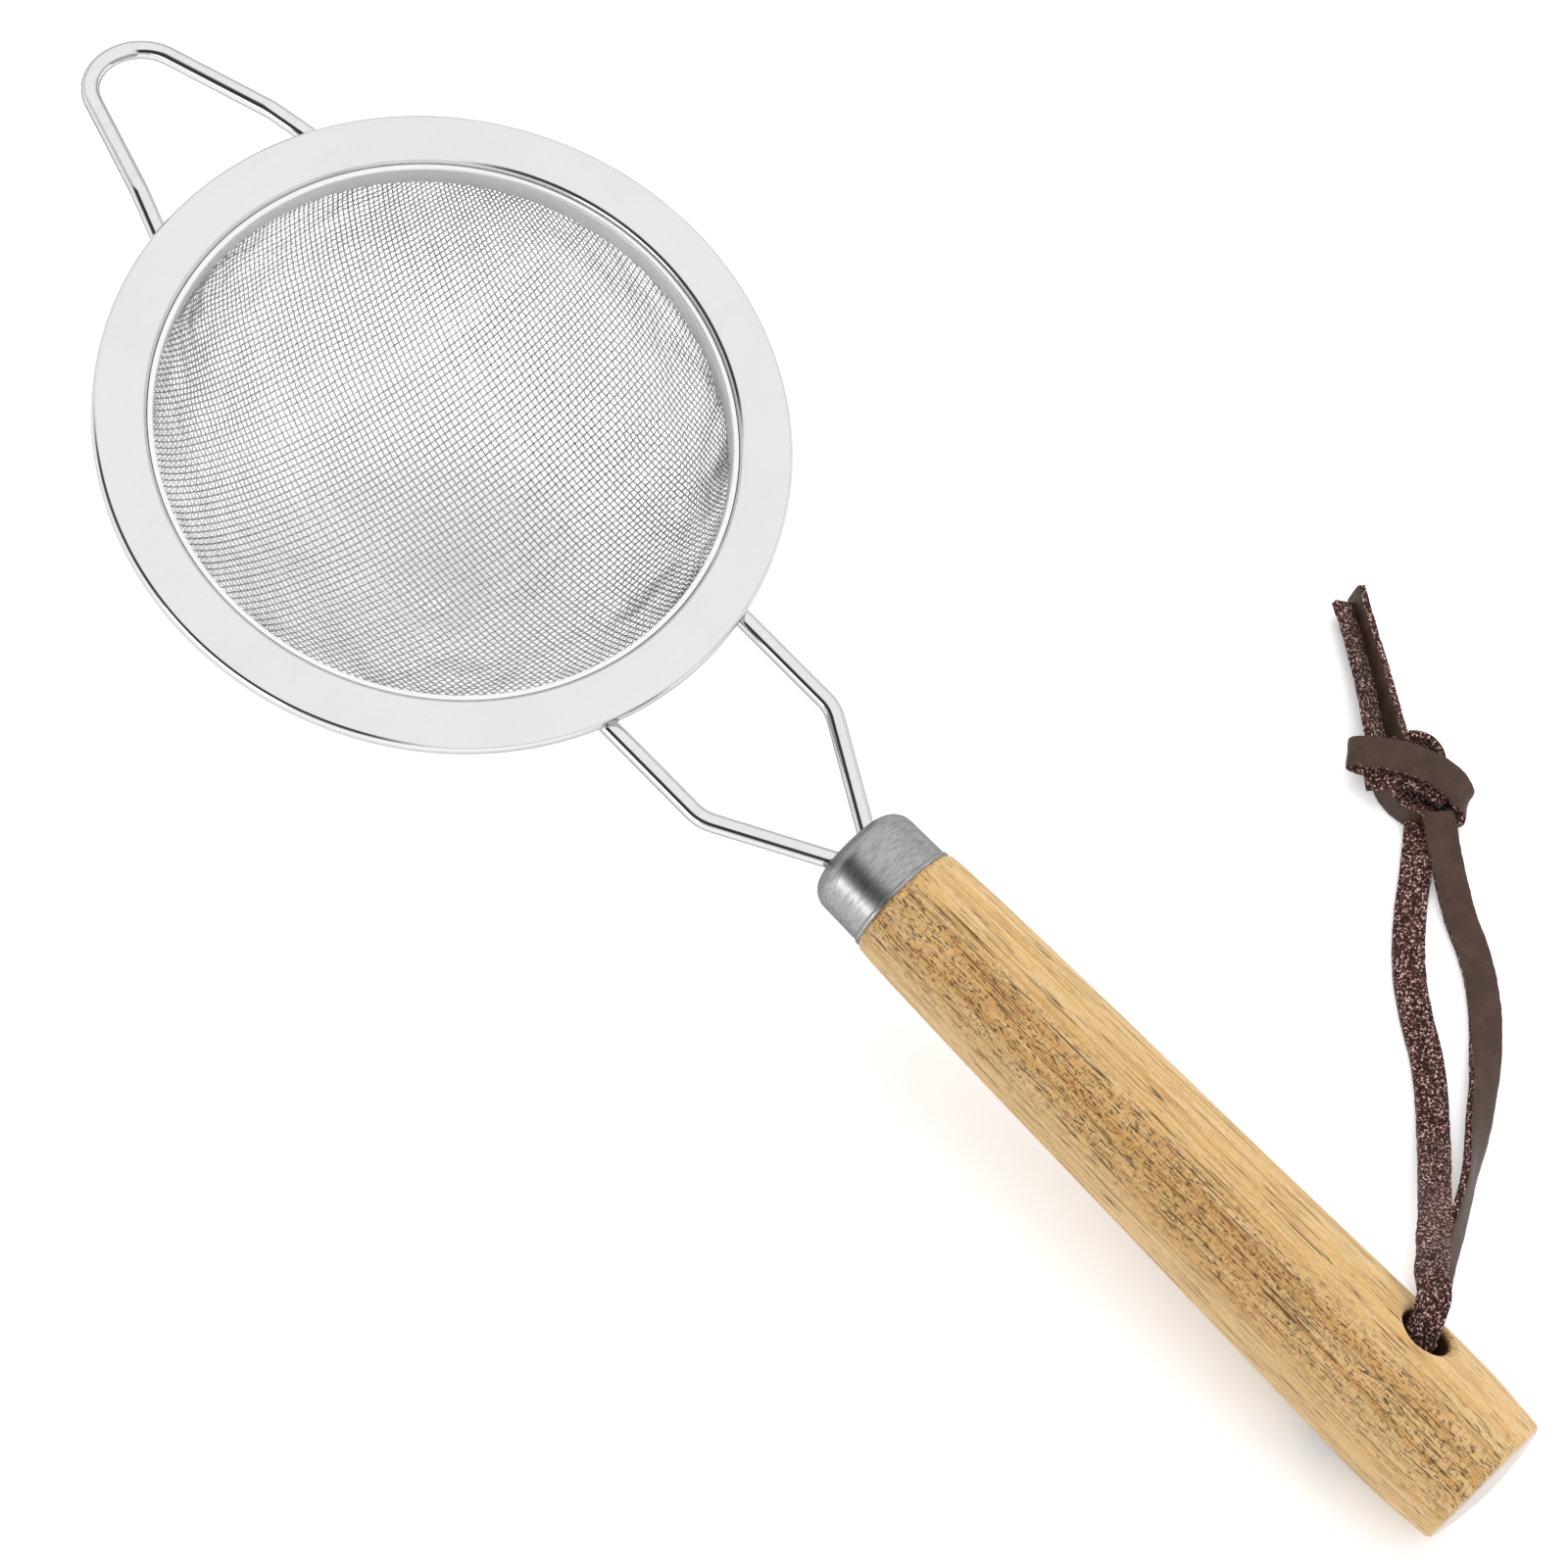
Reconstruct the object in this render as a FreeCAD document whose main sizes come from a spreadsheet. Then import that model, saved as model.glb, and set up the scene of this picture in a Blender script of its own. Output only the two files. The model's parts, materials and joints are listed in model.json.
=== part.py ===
"""Tea strainer with a woven bowl, a wire yoke and rest, a turned wooden handle and a leather lace.

The metal and wood are drawn in the strainer's own frame: origin at the rim's centre, top of the
flange at Z = 0, handle along +X. lay_down then stands everything on the ground plane Z = 0, on the
bottom of the bowl and the end of the grip. The lace is drawn where it lies on the ground.
"""

import FreeCAD, Part
import math
import os
import re

import Sketcher

Vector = FreeCAD.Vector
Rotation = FreeCAD.Rotation
Placement = FreeCAD.Placement
UP = Vector(0, 0, 1)
ALONG = Vector(1, 0, 0)
ACROSS = Vector(0, 1, 0)

# Driving dimensions: alias, value in millimetres or degrees, meaning.
DIMENSIONS = [
    ("rim_radius", 45.0, "outside of the flange"),
    ("opening_radius", 38.6, "inner end of the flange's flat top"),
    ("collar_radius", 38.0, "inside of the turned-down collar"),
    ("sheet_gauge", 0.5, "flange sheet thickness"),
    ("edge_round", 0.6, "outside bend radius of both flange edges"),
    ("lip_depth", 1.7, "turned-down outer lip"),
    ("collar_depth", 4.4, "turned-down inner collar"),
    ("cloth_gauge", 0.4, "thickness of the woven wire cloth"),
    ("cloth_top", 1.2, "depth of the cloth's clamped edge"),
    ("bowl_drop", 35.0, "bowl below the collar, at mid cloth"),
    ("band_gauge", 0.35, "clamp band thickness"),
    ("band_top", 1.1, "depth of the clamp band's upper edge"),
    ("fit_gap", 0.03, "clearance between rim, cloth and band"),
    ("wire_radius", 1.2, "yoke and rest wire"),
    ("weld_sink", 0.05, "how far a wire sinks into the lip at its weld"),
    ("rest_turn", 4.4, "the rest is this far round from -X towards +Y"),
    ("rest_root", 36.6, "start of the rest's legs, from the rim's centre"),
    ("rest_root_spread", 14.5, "half spacing of the rest's legs at their start"),
    ("rest_leg_lean", 16.2, "each leg's lean towards the middle"),
    ("rest_bend", 49.5, "where the rest bends down, from the rim's centre"),
    ("rest_dip", 14.0, "how far it bends down"),
    ("rest_bend_radius", 6.0, "radius of that bend"),
    ("rest_tip_radius", 6.4, "radius of the rounded tip"),
    ("handle_rise", 1.5, "slope of the handle above the rim plane"),
    ("yoke_root", 7.9, "yoke wires start this far inside the rim's edge"),
    ("yoke_spread", 11.85, "half spacing of the yoke wires at the rim"),
    ("yoke_bend", 14.8, "first bend, from the rim's edge"),
    ("yoke_lean", 30.8, "convergence of each yoke wire"),
    ("yoke_bend_radius", 5.5, "radius of the first bend"),
    ("tang_bend_radius", 2.6, "radius of the second bend, inside the ferrule"),
    ("tang_spread", 1.23, "half spacing of the tangs"),
    ("tang_end", 74.0, "end of the tangs, from the rim's edge"),
    ("ferrule_front", 30.0, "front face of the ferrule, from the rim's edge"),
    ("ferrule_back", 39.4, "seam between ferrule and grip"),
    ("ferrule_nose", 7.65, "ferrule radius at its front"),
    ("ferrule_tail", 7.8, "ferrule radius at the seam"),
    ("ferrule_wall", 0.6, "ferrule wall and front thickness"),
    ("ferrule_round", 3.0, "rounding of the ferrule's front edge"),
    ("slot_half_width", 1.35, "wire slots in the ferrule's front"),
    ("slot_near", 1.95, "inner slot centre, from the handle's axis"),
    ("slot_far", 2.85, "outer slot centre, from the handle's axis"),
    ("tenon_front", 33.4, "front of the grip's tenon"),
    ("tenon_radius", 7.0, "grip tenon inside the ferrule"),
    ("tang_bore", 2.6, "radius of the bore for the tangs"),
    ("tang_mouth", 3.8, "radius of the flared mouth of that bore"),
    ("tang_flare", 3.0, "length of the flare"),
    ("bore_end", 75.0, "blind end of the tang bore"),
    ("shoulder_radius", 7.85, "grip radius at the seam"),
    ("grip_end", 140.7, "rim of the grip's end face"),
    ("grip_end_radius", 9.6, "grip radius at that rim"),
    ("grip_dome", 1.2, "height of the domed end"),
    ("end_round", 0.8, "rounding of the end's rim"),
    ("hole_radius", 3.5, "hanging hole"),
    ("hole_place", 123.0, "hanging hole, from the rim's edge along the handle"),
    ("hole_turn", 57.0, "the hanging hole's axis, from +Y towards +Z"),
    ("hole_break", 0.35, "broken edge of the hanging hole"),
    ("lace_width", 4.2, "leather lace"),
    ("lace_gauge", 1.4, "leather lace thickness"),
    ("lace_start", 6.0, "the left strand begins this far up the hanging hole from its middle"),
    ("lace_fold_reach", 10.95, "the lace folds this far down the hanging hole from its middle"),
    ("lace_fold", 1.1, "radius of that fold"),
    ("lace_under", 10.95, "the lace passes this far under the grip's axis"),
    ("lace_level", 3.0, "and is level from this far aside of it, on the hole's lower side"),
    ("lace_aside", 8.0, "the right strand begins this far to the side of the grip's axis"),
    ("knot_along", 12.5, "knot, along the strands"),
    ("knot_across", 15.2, "knot, across the strands"),
    ("knot_height", 6.0, "knot"),
    ("knot_round", 2.4, "rounding of the knot"),
    ("tail_length", 22.0, "each tail, from the knot's side"),
    ("tail_aside", 0.5, "each tail is this far to the side of their middle line"),
    ("tail_level", 1.5, "the upper tail's underside above the ground"),
    ("floor_gap", 0.02, "gap under the lower tail and the knot"),
]

# The lace's strands, from the hanging hole to the knot, on the ground plane.
LEFT_STRAND = [
    (109.36, 3.24, 16.96), (109.96, 6.05, 21.28), (107.8, 10.6, 22.2), (103.8, 14.9, 18.3),
    (99.0, 21.4, 11.2), (94.0, 28.9, 5.2), (88.4, 36.1, 2.3), (82.0, 42.6, 2.12),
    (76.2, 46.6, 2.12), (71.1, 50.9, 2.12), (66.2, 56.7, 2.12), (61.8, 63.2, 2.12),
    (57.6, 68.8, 2.12),
]
RIGHT_STRAND = [
    (107.0, 8.3, 2.12), (105.6, 14.3, 2.12), (102.6, 21.5, 2.12), (98.2, 30.6, 2.12),
    (91.0, 42.4, 2.12), (84.2, 51.6, 2.12), (77.4, 58.0, 2.12), (70.0, 62.0, 2.12),
    (64.0, 66.2, 2.8), (58.8, 70.4, 3.4),
]
KNOT_CENTRE = (52.8, 71.9)
KNOT_TURN = 45.0
TAIL_START = (46.9, 74.0)
TAIL_HEADING = 144.8

# Swelling part of the grip's outline: distance from the rim's edge, radius.
GRIP_SWELL = [(42.0, 8.38), (60.0, 8.95), (90.0, 9.52), (117.0, 10.08), (131.0, 10.24)]

doc = FreeCAD.newDocument("tea_strainer")
sheet = doc.addObject("Spreadsheet::Sheet", "Sheet")
for row, (alias, number, meaning) in enumerate(DIMENSIONS, start=1):
    sheet.set(f"A{row}", meaning)
    sheet.set(f"B{row}", str(number))
    sheet.setAlias(f"B{row}", alias)
doc.recompute()
size = {alias: float(sheet.get(alias)) for alias, _, _ in DIMENSIONS}

TERM = re.compile(r"([+-]?)\s*(?:([\d.]+)\s*\*\s*)?([a-z_]+)")


def worth(sum_text):
    """The number that a sum of aliases such as "rim_radius - 2 * fit_gap" stands for."""
    return sum((-1 if sign == "-" else 1) * float(factor or 1) * size[alias]
               for sign, factor, alias in TERM.findall(sum_text))


def bind(target, prop, sum_text):
    """Tie a property to a sum of the sheet's cells."""
    target.setExpression(prop, re.sub(r"[a-z_]+", lambda word: "Sheet." + word.group(), sum_text))


def new_body(name):
    body = doc.addObject("PartDesign::Body", name)
    body.Label = name
    return body


def sketch_on(body, name, role, turned=None):
    """A sketch on one of the body's origin planes, optionally turned about the origin."""
    sketch = body.newObject("Sketcher::SketchObject", name)
    plane = next(item for item in body.Origin.OriginFeatures if item.Role == role)
    sketch.AttachmentSupport = (plane, [""])
    sketch.MapMode = "FlatFace"
    if turned:
        sketch.AttachmentOffset = Placement(Vector(), turned)
    return sketch


def pin(sketch, line, end, axis, sum_text):
    """Hold one end of a sketch line where a sum of cells says, measured from the origin."""
    if worth(sum_text) == 0:
        sketch_axis = -2 if axis == "DistanceX" else -1
        sketch.addConstraint(Sketcher.Constraint("PointOnObject", line, end, sketch_axis))
        return
    rule = Sketcher.Constraint(axis, -1, 1, line, end, worth(sum_text))
    bind(sketch, f"Constraints[{sketch.addConstraint(rule)}]", sum_text)


def closed_outline(sketch, corners):
    """A polygon whose corners are pairs of sums of cells."""
    spots = [Vector(worth(x), worth(y), 0) for x, y in corners]
    lines = [sketch.addGeometry(Part.LineSegment(spot, following))
             for spot, following in zip(spots, spots[1:] + spots[:1])]
    for line, following, (x, y) in zip(lines, lines[1:] + lines[:1], corners):
        sketch.addConstraint(Sketcher.Constraint("Coincident", line, 2, following, 1))
        pin(sketch, line, 1, "DistanceX", x)
        pin(sketch, line, 1, "DistanceY", y)


def revolve(body, sketch, axis, kind="PartDesign::Revolution"):
    feature = body.newObject(kind, sketch.Name + "_turned")
    feature.Profile = sketch
    feature.ReferenceAxis = (sketch, [axis])
    feature.Angle = 360
    doc.recompute()
    return feature


def pocket_through(body, sketch):
    """Cut the sketch right through the body both ways, and check that it removed something."""
    before = body.Tip.Shape.Volume
    feature = body.newObject("PartDesign::Pocket", sketch.Name + "_cut")
    feature.Profile = sketch
    feature.Type = "ThroughAll"
    feature.Midplane = True
    doc.recompute()
    if feature.Shape.Volume > before - 1.0:
        raise RuntimeError(f"{sketch.Name} cuts nothing")


def round_edges(body, kind, prop, alias, chosen):
    """Fillet or chamfer the edges of the body's last feature that the test picks."""
    base = body.Tip
    names = [f"Edge{number}" for number, edge in enumerate(base.Shape.Edges, start=1)
             if not edge.Degenerated and chosen(edge)]
    if not names:
        raise RuntimeError(f"{body.Name} has no edge for {alias}")
    feature = body.newObject(kind, f"{body.Name}_{alias}")
    feature.Base = (base, names)
    bind(feature, prop, alias)
    doc.recompute()
    return feature


def ring_edge(radius, place, axis):
    """A test for a circle of the given radius, centred at the given place along an axis."""
    def chosen(edge):
        curve = edge.Curve
        return (isinstance(curve, Part.Circle) and abs(curve.Radius - radius) < 1e-4
                and abs(curve.Center.dot(axis) - place) < 1e-4)
    return chosen


def make_rim_flange():
    """Stamped flange: a flat ring with its outer lip and inner collar turned down."""
    body = new_body("rim_flange")
    outline = sketch_on(body, "flange_outline", "XZ_Plane")
    closed_outline(outline, [
        ("collar_radius", "0"),
        ("rim_radius", "0"),
        ("rim_radius", "- lip_depth"),
        ("rim_radius - sheet_gauge", "- lip_depth"),
        ("rim_radius - sheet_gauge", "- sheet_gauge"),
        ("collar_radius + sheet_gauge", "- sheet_gauge"),
        ("collar_radius + sheet_gauge", "- collar_depth"),
        ("collar_radius", "- collar_depth"),
    ])
    revolve(body, outline, "V_Axis")
    outer = ring_edge(size["rim_radius"], 0, UP)
    inner = ring_edge(size["collar_radius"], 0, UP)
    round_edges(body, "PartDesign::Fillet", "Radius", "edge_round",
                lambda edge: outer(edge) or inner(edge))
    return body


def make_clamp_band():
    """Band inside the collar that holds the edge of the cloth."""
    body = new_body("mesh_clamp_band")
    outline = sketch_on(body, "band_outline", "XZ_Plane")
    outside = "collar_radius - cloth_gauge - 2 * fit_gap"
    inside = outside + " - band_gauge"
    closed_outline(outline, [
        (inside, "- band_top"),
        (outside, "- band_top"),
        (outside, "- collar_depth"),
        (inside, "- collar_depth"),
    ])
    revolve(body, outline, "V_Axis")
    return body


def cup(name, radius, drop):
    """Lower half of an ellipsoid hung below the collar, with a cylinder up to the clamped edge."""
    dome = doc.addObject("Part::Ellipsoid", name + "_dome")
    bind(dome, "Radius1", drop)
    bind(dome, "Radius2", radius)
    bind(dome, "Radius3", radius)
    dome.Angle1 = -90
    dome.Angle2 = 0
    bind(dome, "Placement.Base.z", "- collar_depth")
    skirt = doc.addObject("Part::Cylinder", name + "_skirt")
    bind(skirt, "Radius", radius)
    bind(skirt, "Height", "collar_depth - cloth_top")
    bind(skirt, "Placement.Base.z", "- collar_depth")
    whole = doc.addObject("Part::Fuse", name)
    whole.Base, whole.Tool = dome, skirt
    return whole


def make_mesh_bowl():
    """Wire cloth pressed to a deep half ellipsoid, as a shell of the cloth's thickness."""
    outside = "collar_radius - fit_gap"
    inside = outside + " - cloth_gauge"
    bowl = doc.addObject("Part::Cut", "mesh_bowl")
    bowl.Base = cup("cloth_outside", outside, "bowl_drop + 0.5 * cloth_gauge")
    bowl.Tool = cup("cloth_inside", inside, "bowl_drop - 0.5 * cloth_gauge")
    bowl.Label = "mesh_bowl"
    doc.recompute()
    return bowl


def bent_path(spots, radii):
    """Straight runs through the spots, joined by a tangent arc at each inner spot."""
    edges = []
    start = spots[0]
    for before, corner, after, radius in zip(spots, spots[1:], spots[2:], radii):
        back = (before - corner).normalize()
        ahead = (after - corner).normalize()
        half_turn = (math.pi - back.getAngle(ahead)) / 2
        first = corner + back * (radius * math.tan(half_turn))
        last = corner + ahead * (radius * math.tan(half_turn))
        middle = corner + (back + ahead).normalize() * (radius / math.cos(half_turn) - radius)
        edges.append(Part.LineSegment(start, first).toShape())
        edges.append(Part.Arc(first, middle, last).toShape())
        start = last
    edges.append(Part.LineSegment(start, spots[-1]).toShape())
    return Part.Wire(edges)


def swept(name, path, section):
    """A solid of the section carried along the path, checked against its area times the length."""
    solid = path.makePipeShell([section], True, False)
    expected = Part.Face(section).Area * path.Length
    if abs(solid.Volume - expected) > 0.01 * expected:
        raise RuntimeError(f"{name}: volume {solid.Volume:.1f}, expected {expected:.1f}")
    feature = doc.addObject("Part::Feature", name)
    feature.Label = name
    feature.Shape = solid
    return feature


def round_section(spots, radius):
    """The circle that a round wire or tube through the spots starts with."""
    return Part.Wire(Part.makeCircle(radius, spots[0], spots[1] - spots[0]))


def weld_level():
    """Height of a wire's centre where it is welded under the lip."""
    return size["weld_sink"] - size["lip_depth"] - size["wire_radius"]


def make_front_rest():
    """Rounded V of wire welded under the flange, bent down a little outside it."""
    lean = math.radians(size["rest_leg_lean"])
    dip = math.radians(size["rest_dip"])
    bend = size["rest_bend"]
    bend_spread = size["rest_root_spread"] - (bend - size["rest_root"]) * math.tan(lean)
    point_reach = bend_spread / math.tan(lean)
    root = Vector(-size["rest_root"], size["rest_root_spread"], weld_level())
    elbow = Vector(-bend, bend_spread, weld_level())
    point = Vector(-bend - point_reach * math.cos(dip), 0, weld_level() - point_reach * math.sin(dip))
    spots = [root, elbow, point] + [Vector(spot.x, -spot.y, spot.z) for spot in (elbow, root)]
    radii = [size["rest_bend_radius"], size["rest_tip_radius"], size["rest_bend_radius"]]
    rest = swept("front_rest_loop", bent_path(spots, radii), round_section(spots, size["wire_radius"]))
    rest.Placement = Placement(Vector(), Rotation(UP, -size["rest_turn"]))
    return rest


def handle_frame():
    """Places handle parts: their X axis starts at the rim's edge and rises from the rim plane."""
    return Placement(Vector(size["rim_radius"], 0, weld_level()),
                     Rotation(ACROSS, -size["handle_rise"]))


def make_yoke_wire(name, side):
    """Wire from under the flange, converging on the handle and running on into it as a tang."""
    lean = math.tan(math.radians(size["yoke_lean"]))
    meet = size["yoke_bend"] + (size["yoke_spread"] - size["tang_spread"]) / lean
    spots = [Vector(-size["yoke_root"], side * size["yoke_spread"], 0),
             Vector(size["yoke_bend"], side * size["yoke_spread"], 0),
             Vector(meet, side * size["tang_spread"], 0),
             Vector(size["tang_end"], side * size["tang_spread"], 0)]
    path = bent_path(spots, [size["yoke_bend_radius"], size["tang_bend_radius"]])
    wire = swept(name, path, round_section(spots, size["wire_radius"]))
    wire.Placement = handle_frame()
    return wire


def make_ferrule():
    """Drawn steel cap over the grip's tenon, with a slot for each yoke wire."""
    body = new_body("handle_ferrule")
    outline = sketch_on(body, "ferrule_outline", "XY_Plane")
    closed_outline(outline, [
        ("ferrule_front", "0"),
        ("ferrule_front", "ferrule_nose"),
        ("ferrule_back", "ferrule_tail"),
        ("ferrule_back", "ferrule_tail - ferrule_wall"),
        ("ferrule_front + ferrule_wall", "ferrule_nose - ferrule_wall"),
        ("ferrule_front + ferrule_wall", "0"),
    ])
    revolve(body, outline, "H_Axis")
    front = ring_edge(size["ferrule_nose"], size["ferrule_front"], ALONG)
    round_edges(body, "PartDesign::Fillet", "Radius", "ferrule_round", front)
    inside_front = size["ferrule_front"] + size["ferrule_wall"]
    inside = ring_edge(size["ferrule_nose"] - size["ferrule_wall"], inside_front, ALONG)
    hollow = round_edges(body, "PartDesign::Fillet", "Radius", "ferrule_round", inside)
    bind(hollow, "Radius", "ferrule_round - ferrule_wall")
    slots = sketch_on(body, "wire_slots", "YZ_Plane")
    for side in (1, -1):
        slot_outline(slots, side)
    pocket_through(body, slots)
    return body


def slot_outline(sketch, side):
    """An obround across the handle's axis, its width and ends tied to the sheet."""
    half, near, far = size["slot_half_width"], side * size["slot_near"], side * size["slot_far"]
    quarter = math.pi / 2
    start = quarter if side > 0 else -quarter
    upper = sketch.addGeometry(Part.LineSegment(Vector(near, half, 0), Vector(far, half, 0)))
    lower = sketch.addGeometry(Part.LineSegment(Vector(near, -half, 0), Vector(far, -half, 0)))
    inner = sketch.addGeometry(Part.ArcOfCircle(
        Part.Circle(Vector(near, 0, 0), UP, half), start, start + math.pi))
    outer = sketch.addGeometry(Part.ArcOfCircle(
        Part.Circle(Vector(far, 0, 0), UP, half), start - math.pi, start))
    first, second = (1, 2) if side > 0 else (2, 1)
    for arc, line_end, top, bottom in ((inner, 1, first, second), (outer, 2, second, first)):
        sketch.addConstraint(Sketcher.Constraint("Tangent", arc, top, upper, line_end))
        sketch.addConstraint(Sketcher.Constraint("Tangent", arc, bottom, lower, line_end))
    pin(sketch, inner, 3, "DistanceX", "slot_near" if side > 0 else "- slot_near")
    pin(sketch, outer, 3, "DistanceX", "slot_far" if side > 0 else "- slot_far")
    sketch.addConstraint(Sketcher.Constraint("PointOnObject", inner, 3, -1))
    sketch.addConstraint(Sketcher.Constraint("PointOnObject", outer, 3, -1))
    bind(sketch, f"Constraints[{sketch.addConstraint(Sketcher.Constraint('Radius', inner, half))}]",
         "slot_half_width")


def make_grip():
    """Turned wooden grip with a tenon, a bore for the tangs and a hanging hole."""
    body = new_body("handle_grip")
    outline = sketch_on(body, "grip_outline", "XY_Plane")
    swell = Part.BSplineCurve()
    end_rim = (size["grip_end"], size["grip_end_radius"])
    swell.interpolate([Vector(x, y, 0) for x, y in GRIP_SWELL + [end_rim]])
    first, last = Vector(*GRIP_SWELL[0], 0), Vector(*end_rim, 0)
    shoulder = Vector(size["ferrule_back"], size["shoulder_radius"], 0)
    dome_top = Vector(size["grip_end"] + size["grip_dome"], 0, 0)
    dome_radius = (size["grip_end_radius"] ** 2 + size["grip_dome"] ** 2) / (2 * size["grip_dome"])
    dome_mid_angle = math.asin(size["grip_end_radius"] / dome_radius) / 2
    dome_middle = dome_top + Vector(dome_radius * (math.cos(dome_mid_angle) - 1),
                                    dome_radius * math.sin(dome_mid_angle), 0)
    tenon = [Vector(size["tenon_front"], 0, 0), Vector(size["tenon_front"], size["tenon_radius"], 0),
             Vector(size["ferrule_back"], size["tenon_radius"], 0), shoulder]
    curves = [Part.LineSegment(start, end) for start, end in zip(tenon, tenon[1:])]
    curves += [shoulder_curve(shoulder, first, swell), swell, Part.Arc(last, dome_middle, dome_top),
               Part.LineSegment(dome_top, tenon[0])]
    pieces = [outline.addGeometry(curve) for curve in curves]
    pin(outline, pieces[0], 1, "DistanceX", "tenon_front")
    pin(outline, pieces[0], 2, "DistanceY", "tenon_radius")
    pin(outline, pieces[2], 2, "DistanceX", "ferrule_back")
    pin(outline, pieces[2], 2, "DistanceY", "shoulder_radius")
    revolve(body, outline, "H_Axis")
    rim = ring_edge(size["grip_end_radius"], size["grip_end"], ALONG)
    round_edges(body, "PartDesign::Fillet", "Radius", "end_round", rim)
    bore = sketch_on(body, "tang_bore", "XY_Plane")
    closed_outline(bore, [
        ("tenon_front", "0"),
        ("tenon_front", "tang_mouth"),
        ("tenon_front + tang_flare", "tang_bore"),
        ("bore_end", "tang_bore"),
        ("bore_end", "0"),
    ])
    revolve(body, bore, "H_Axis", "PartDesign::Groove")
    return body


def shoulder_curve(shoulder, first, swell):
    """Arc that turns the grip's shoulder into its swelling outline, in line with it."""
    onward = swell.tangent(swell.FirstParameter)[0]
    chord = first - shoulder
    lean = onward.getAngle(chord)
    radius = chord.Length / (2 * math.sin(lean))
    inward = Vector(onward.y, -onward.x, 0)
    centre = first + inward * radius
    middle = centre + ((shoulder + first) * 0.5 - centre).normalize() * radius
    return Part.Arc(shoulder, middle, first)


def drill_hanging_hole(body):
    """Hole across the grip's end, its edges broken."""
    turned = Rotation(ALONG, size["hole_turn"] - 90)
    hole = sketch_on(body, "hanging_hole", "XY_Plane", turned)
    circle = hole.addGeometry(Part.Circle(Vector(size["hole_place"], 0, 0), UP, size["hole_radius"]))
    pin(hole, circle, 3, "DistanceX", "hole_place")
    hole.addConstraint(Sketcher.Constraint("PointOnObject", circle, 3, -1))
    rule = hole.addConstraint(Sketcher.Constraint("Radius", circle, size["hole_radius"]))
    bind(hole, f"Constraints[{rule}]", "hole_radius")
    pocket_through(body, hole)
    place = size["hole_place"]
    reach = size["hole_radius"] + 0.1

    def mouth(edge):
        box = edge.BoundBox
        return (box.XMin > place - reach and box.XMax < place + reach and edge.Length > reach
                and abs(box.Center.distanceToPoint(Vector(place, 0, 0))) > size["hole_radius"])
    round_edges(body, "PartDesign::Chamfer", "Size", "hole_break", mouth)


def make_strand(name, route):
    """One strand of the lace, as a tube as thick as the lace is wide."""
    spots = [Vector(*spot) for spot in route]
    radii = []
    for before, corner, after in zip(spots, spots[1:], spots[2:]):
        half_turn = (corner - before).getAngle(after - corner) / 2
        shorter = min((corner - before).Length, (after - corner).Length)
        radii.append(0.45 * shorter / math.tan(half_turn))
    path = bent_path(spots, radii)
    print(f"{name}: {path.Length:.1f} mm, radii " + " ".join(f"{radius:.1f}" for radius in radii))
    return swept(name, path, round_section(spots, size["lace_width"] / 2))


def make_bore_run():
    """Flat lace through the hanging hole, folded at its lower mouth and led out under the grip."""
    turn = math.radians(size["hole_turn"])
    place, under = size["hole_place"], -size["lace_under"]
    outward = Vector(0, math.cos(turn), math.sin(turn))
    spots = [outward * size["lace_start"], outward * -size["lace_fold_reach"],
             Vector(0, -size["lace_level"], under), Vector(0, size["lace_aside"], under)]
    half_width = ALONG * (size["lace_width"] / 2)
    half_gauge = outward.cross(ALONG) * (size["lace_gauge"] / 2)
    corners = [spots[0] + half_width * across + half_gauge * through + ALONG * place
               for across, through in ((1, 1), (-1, 1), (-1, -1), (1, -1), (1, 1))]
    path = bent_path([spot + ALONG * place for spot in spots], [size["lace_fold"], 2 * size["lace_gauge"]])
    return swept("lace_bore_run", path, Part.makePolygon(corners))


def make_knot():
    """Plain block of the knot's size."""
    block = doc.addObject("Part::Box", "knot_block")
    bind(block, "Length", "knot_across")
    bind(block, "Width", "knot_along")
    bind(block, "Height", "knot_height")
    corner = Vector(-size["knot_across"] / 2, -size["knot_along"] / 2, size["floor_gap"])
    heading = Placement(Vector(*KNOT_CENTRE, 0), Rotation(UP, KNOT_TURN))
    block.Placement = heading * Placement(corner, Rotation())
    doc.recompute()
    knot = doc.addObject("Part::Fillet", "lace_knot")
    knot.Base = block
    knot.Edges = [(number, size["knot_round"], size["knot_round"]) for number in range(1, 13)]
    knot.Label = "lace_knot"
    return knot


def make_tail(name, aside, level):
    """One flat cut end of the lace beyond the knot."""
    tail = doc.addObject("Part::Box", name)
    tail.Label = name
    bind(tail, "Length", "tail_length")
    bind(tail, "Width", "lace_width")
    bind(tail, "Height", "lace_gauge")
    heading = Placement(Vector(*TAIL_START, 0), Rotation(UP, TAIL_HEADING))
    tail.Placement = heading * Placement(Vector(0, aside - size["lace_width"] / 2, level), Rotation())
    return tail


def lowest(shape):
    return shape.optimalBoundingBox(False).ZMin


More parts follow.
